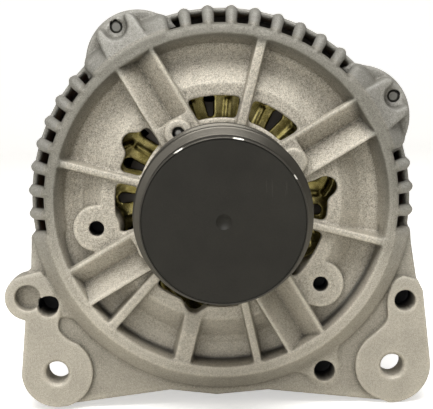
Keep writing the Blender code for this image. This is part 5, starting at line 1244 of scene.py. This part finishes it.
diode = {"circle": 35.99, "angles": (250, 280, 310), "radius": 6.0, "knurls": 40, "knurl": 0.015,
         "negativeY": 90.7, "positiveY": 99.8}


def diodeCan(kind, i, angle, y0):
    # a press-fit can, knurled on its side: r (1 + 0.015 cos 40 t), with a lead stub
    steps = 160
    t = math.tau * np.arange(steps) / steps
    side = diode["radius"] * (1 + diode["knurl"] * np.cos(diode["knurls"] * t))
    rows = [(0, y0), (5.7, y0), (side, y0 + 0.3), (side, y0 + 3.9), (5.5, y0 + 4.5), (2.6, y0 + 4.5),
            (2.0, y0 + 4.8), (2.0, y0 + 5.7), (1.7, y0 + 6.0), (0, y0 + 6.0)]
    turned(f"diode_can_{kind}_{i}", rows, paints["steel"], "housing", f"{kind}_diode_{i}",
           polar(diode["circle"], angle), steps, closed=False)


for i, angle in enumerate(diode["angles"], 1):
    for kind in ("negative", "positive"):
        diodeCan(kind, i, angle, diode[f"{kind}Y"])

spring = {"turns": 4, "wire": 0.33, "radius": 1.88, "low": 23.85, "high": 33.15, "travel": 3.0}


def coilSpring(name, node, middleY):
    # a wire carried up a helix, closed at both ends
    c = SimpleNamespace(**spring)
    around = 10
    share = np.concatenate([[0], np.linspace(0, 1, 161), [1]])[:, None]
    turn = math.tau * c.turns * share
    thick = np.full(len(share), c.wire)[:, None]
    thick[[0, -1]] = 0
    s = math.tau * np.arange(around) / around
    reach = c.radius + thick * np.cos(s)
    points = [reach * np.cos(turn), middleY + reach * np.sin(turn),
              c.low + (c.high - c.low) * share + thick * np.sin(s)]
    made = meshPiece(name, np.stack(points, -1).reshape(-1, 3), gridFaces(len(share), around),
                     paints["steel"], "housing", node)
    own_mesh(made)


coilSpring("brush_spring_front", "brush_spring_1", 99.75)
coilSpring("brush_spring_back", "brush_spring_2", 107.25)

# Shapes that keep the CAD form with rounded edges: CAD node, name, paint, body, edge radius

softParts = [
    ("claw_pole_front", "claw_pole_front_forging", "laminate", "rotor", 0.9),
    ("claw_pole_rear", "claw_pole_rear_forging", "laminate", "rotor", 0.9),
    ("bearing_retainer_plate", "retainer_plate_pressing", "steel", "housing", 0.25),
    ("rectifier_plate_negative", "heat_sink_negative", "plate", "housing", 0.3),
    ("rectifier_plate_positive", "heat_sink_positive", "plate", "housing", 0.3),
    ("rectifier_terminal_board", "terminal_board_moulding", "board", "housing", 0.3),
    ("brush_holder", "brush_holder_moulding", "black", "housing", 0.4),
    ("voltage_regulator", "regulator_block", "black", "housing", 0.6),
    ("connector_socket", "plug_socket_moulding", "black", "housing", 0.5),
    ("brush_1", "brush_front", "carbon", "brush_1", 0.25),
    ("brush_2", "brush_back", "carbon", "brush_2", 0.25),
]
for node, name, paint, body, width in softParts:
    softCopy(node, name, paints[paint], body, width)
print("small parts made")


# Floor, light and camera

def stagePaint():
    # pale floor and backdrop: the camera sees near white with the shadow, other rays a quiet grey
    paint, shader, where = newPaint("paleStudio")
    tree = paint.node_tree
    rays = tree.nodes.new("ShaderNodeLightPath")
    camera, through = (Sock(tree, rays.outputs[f"Is {kind} Ray"]) for kind in ("Camera", "Transmission"))
    fine = where.noise(30.0, 2, 0.5)
    setPaint(shader, Base_Color=fine.mixed((0.90, 0.89, 0.875), (0.93, 0.925, 0.91)), Roughness=0.8,
             Specular_IOR_Level=0.1, Emission_Color=(1.0, 0.995, 0.985), Emission_Strength=0.52)
    quiet = where.node("ShaderNodeBsdfDiffuse", {}, {"Color": (0.78, 0.765, 0.71)})
    seen = camera.math("MAXIMUM", through)
    both = where.node("ShaderNodeMixShader", {}, {0: seen, 1: quiet, 2: Sock(tree, shader.outputs["BSDF"])})
    tree.links.new(both.socket, tree.nodes["Material Output"].inputs["Surface"])
    return paint


stageSize = {"half": 3.0, "bend": 0.5, "bendFrom": 1.2, "below": 0.0002}


def addStage(paint):
    # a floor that curves up into a backdrop: z = r (1 - cos t) along the curve, straight before and after
    half, bend, start, below = stageSize.values()
    t = np.linspace(0, math.pi / 2, 24)
    curve = np.stack([start + bend * np.sin(t), bend * (1 - np.cos(t))], -1)
    profile = np.concatenate([[(-half, 0)], curve, [(start + bend, half)]])
    points = np.array([[(x, y, z - below) for x in (-half, half)] for y, z in profile]).reshape(-1, 3)
    mesh = bpy.data.meshes.new("floor")
    faces = gridFaces(len(profile), 2, closeColumns=False, flip=True)
    mesh.from_pydata(points.tolist(), [], faces.tolist())
    mesh.shade_smooth()
    mesh.materials.append(paint)
    placed("floor", mesh)


addStage(stagePaint())

lamps = [
    # name, size in m, power in W, place, aim
    ("overhead", (0.9, 0.6), 15.6, (-0.05, -0.58, 1.08), (0, 0, 0.08)),
    ("frontFill", (1.0, 1.0), 4.5, (-0.6, -1.2, 0.4), (0, 0, 0.08)),
]
for name, size, power, place, aim in lamps:
    data = bpy.data.lights.new(name, "AREA")
    data.shape, data.size, data.size_y, data.energy = "RECTANGLE", size[0], size[1], power
    lamp = placed(name, data)
    lamp.location = place
    lamp.rotation_euler = (Vector(aim) - Vector(place)).to_track_quat("-Z", "Y").to_euler()

scene = bpy.context.scene
world = bpy.data.worlds.new("studioAir")
world.use_nodes = True
scene.world = world
air = world.node_tree
backdrop = air.nodes["Background"]
seen = Sock(air, air.nodes.new("ShaderNodeLightPath").outputs["Is Camera Ray"])
backdrop.inputs["Color"].default_value = (1.0, 0.985, 0.96, 1)
air.links.new((seen * 0.70 + 0.30).socket, backdrop.inputs["Strength"])
scene.view_settings.view_transform = "Standard"

photoCamera = {"place": (-4.733, -375.0, 46.909), "pitch": 7.187, "yaw": 0.44, "roll": -1.164,
               "pixels": 1058.12, "width": 433, "sensor": 36, "near": 0.01}


def addCamera():
    # looks forward along the pitch and yaw, and is then rolled about its own line of sight
    c = SimpleNamespace(**photoCamera)
    (cp, sp), (cy, sy), (cr, sr) = (polar(1, angle).tolist() for angle in (c.pitch, c.yaw, c.roll))
    ahead, right, up = Vector((sy * cp, cy * cp, -sp)), Vector((cy, -sy, 0)), Vector((sy * sp, cy * sp, cp))
    rolledRight, rolledUp = right * cr + up * sr, up * cr - right * sr
    turn = Matrix((rolledRight, rolledUp, -ahead)).transposed().to_4x4()
    data = bpy.data.cameras.new("photoCamera")
    data.sensor_width, data.clip_start = c.sensor, c.near
    data.lens = c.pixels * c.sensor / c.width
    camera = placed("photoCamera", data)
    camera.matrix_world = Matrix.Translation(Vector(shaftPoint) + Vector(c.place) * mm) @ turn
    scene.camera = camera


addCamera()
print("stage, lamps and camera set")
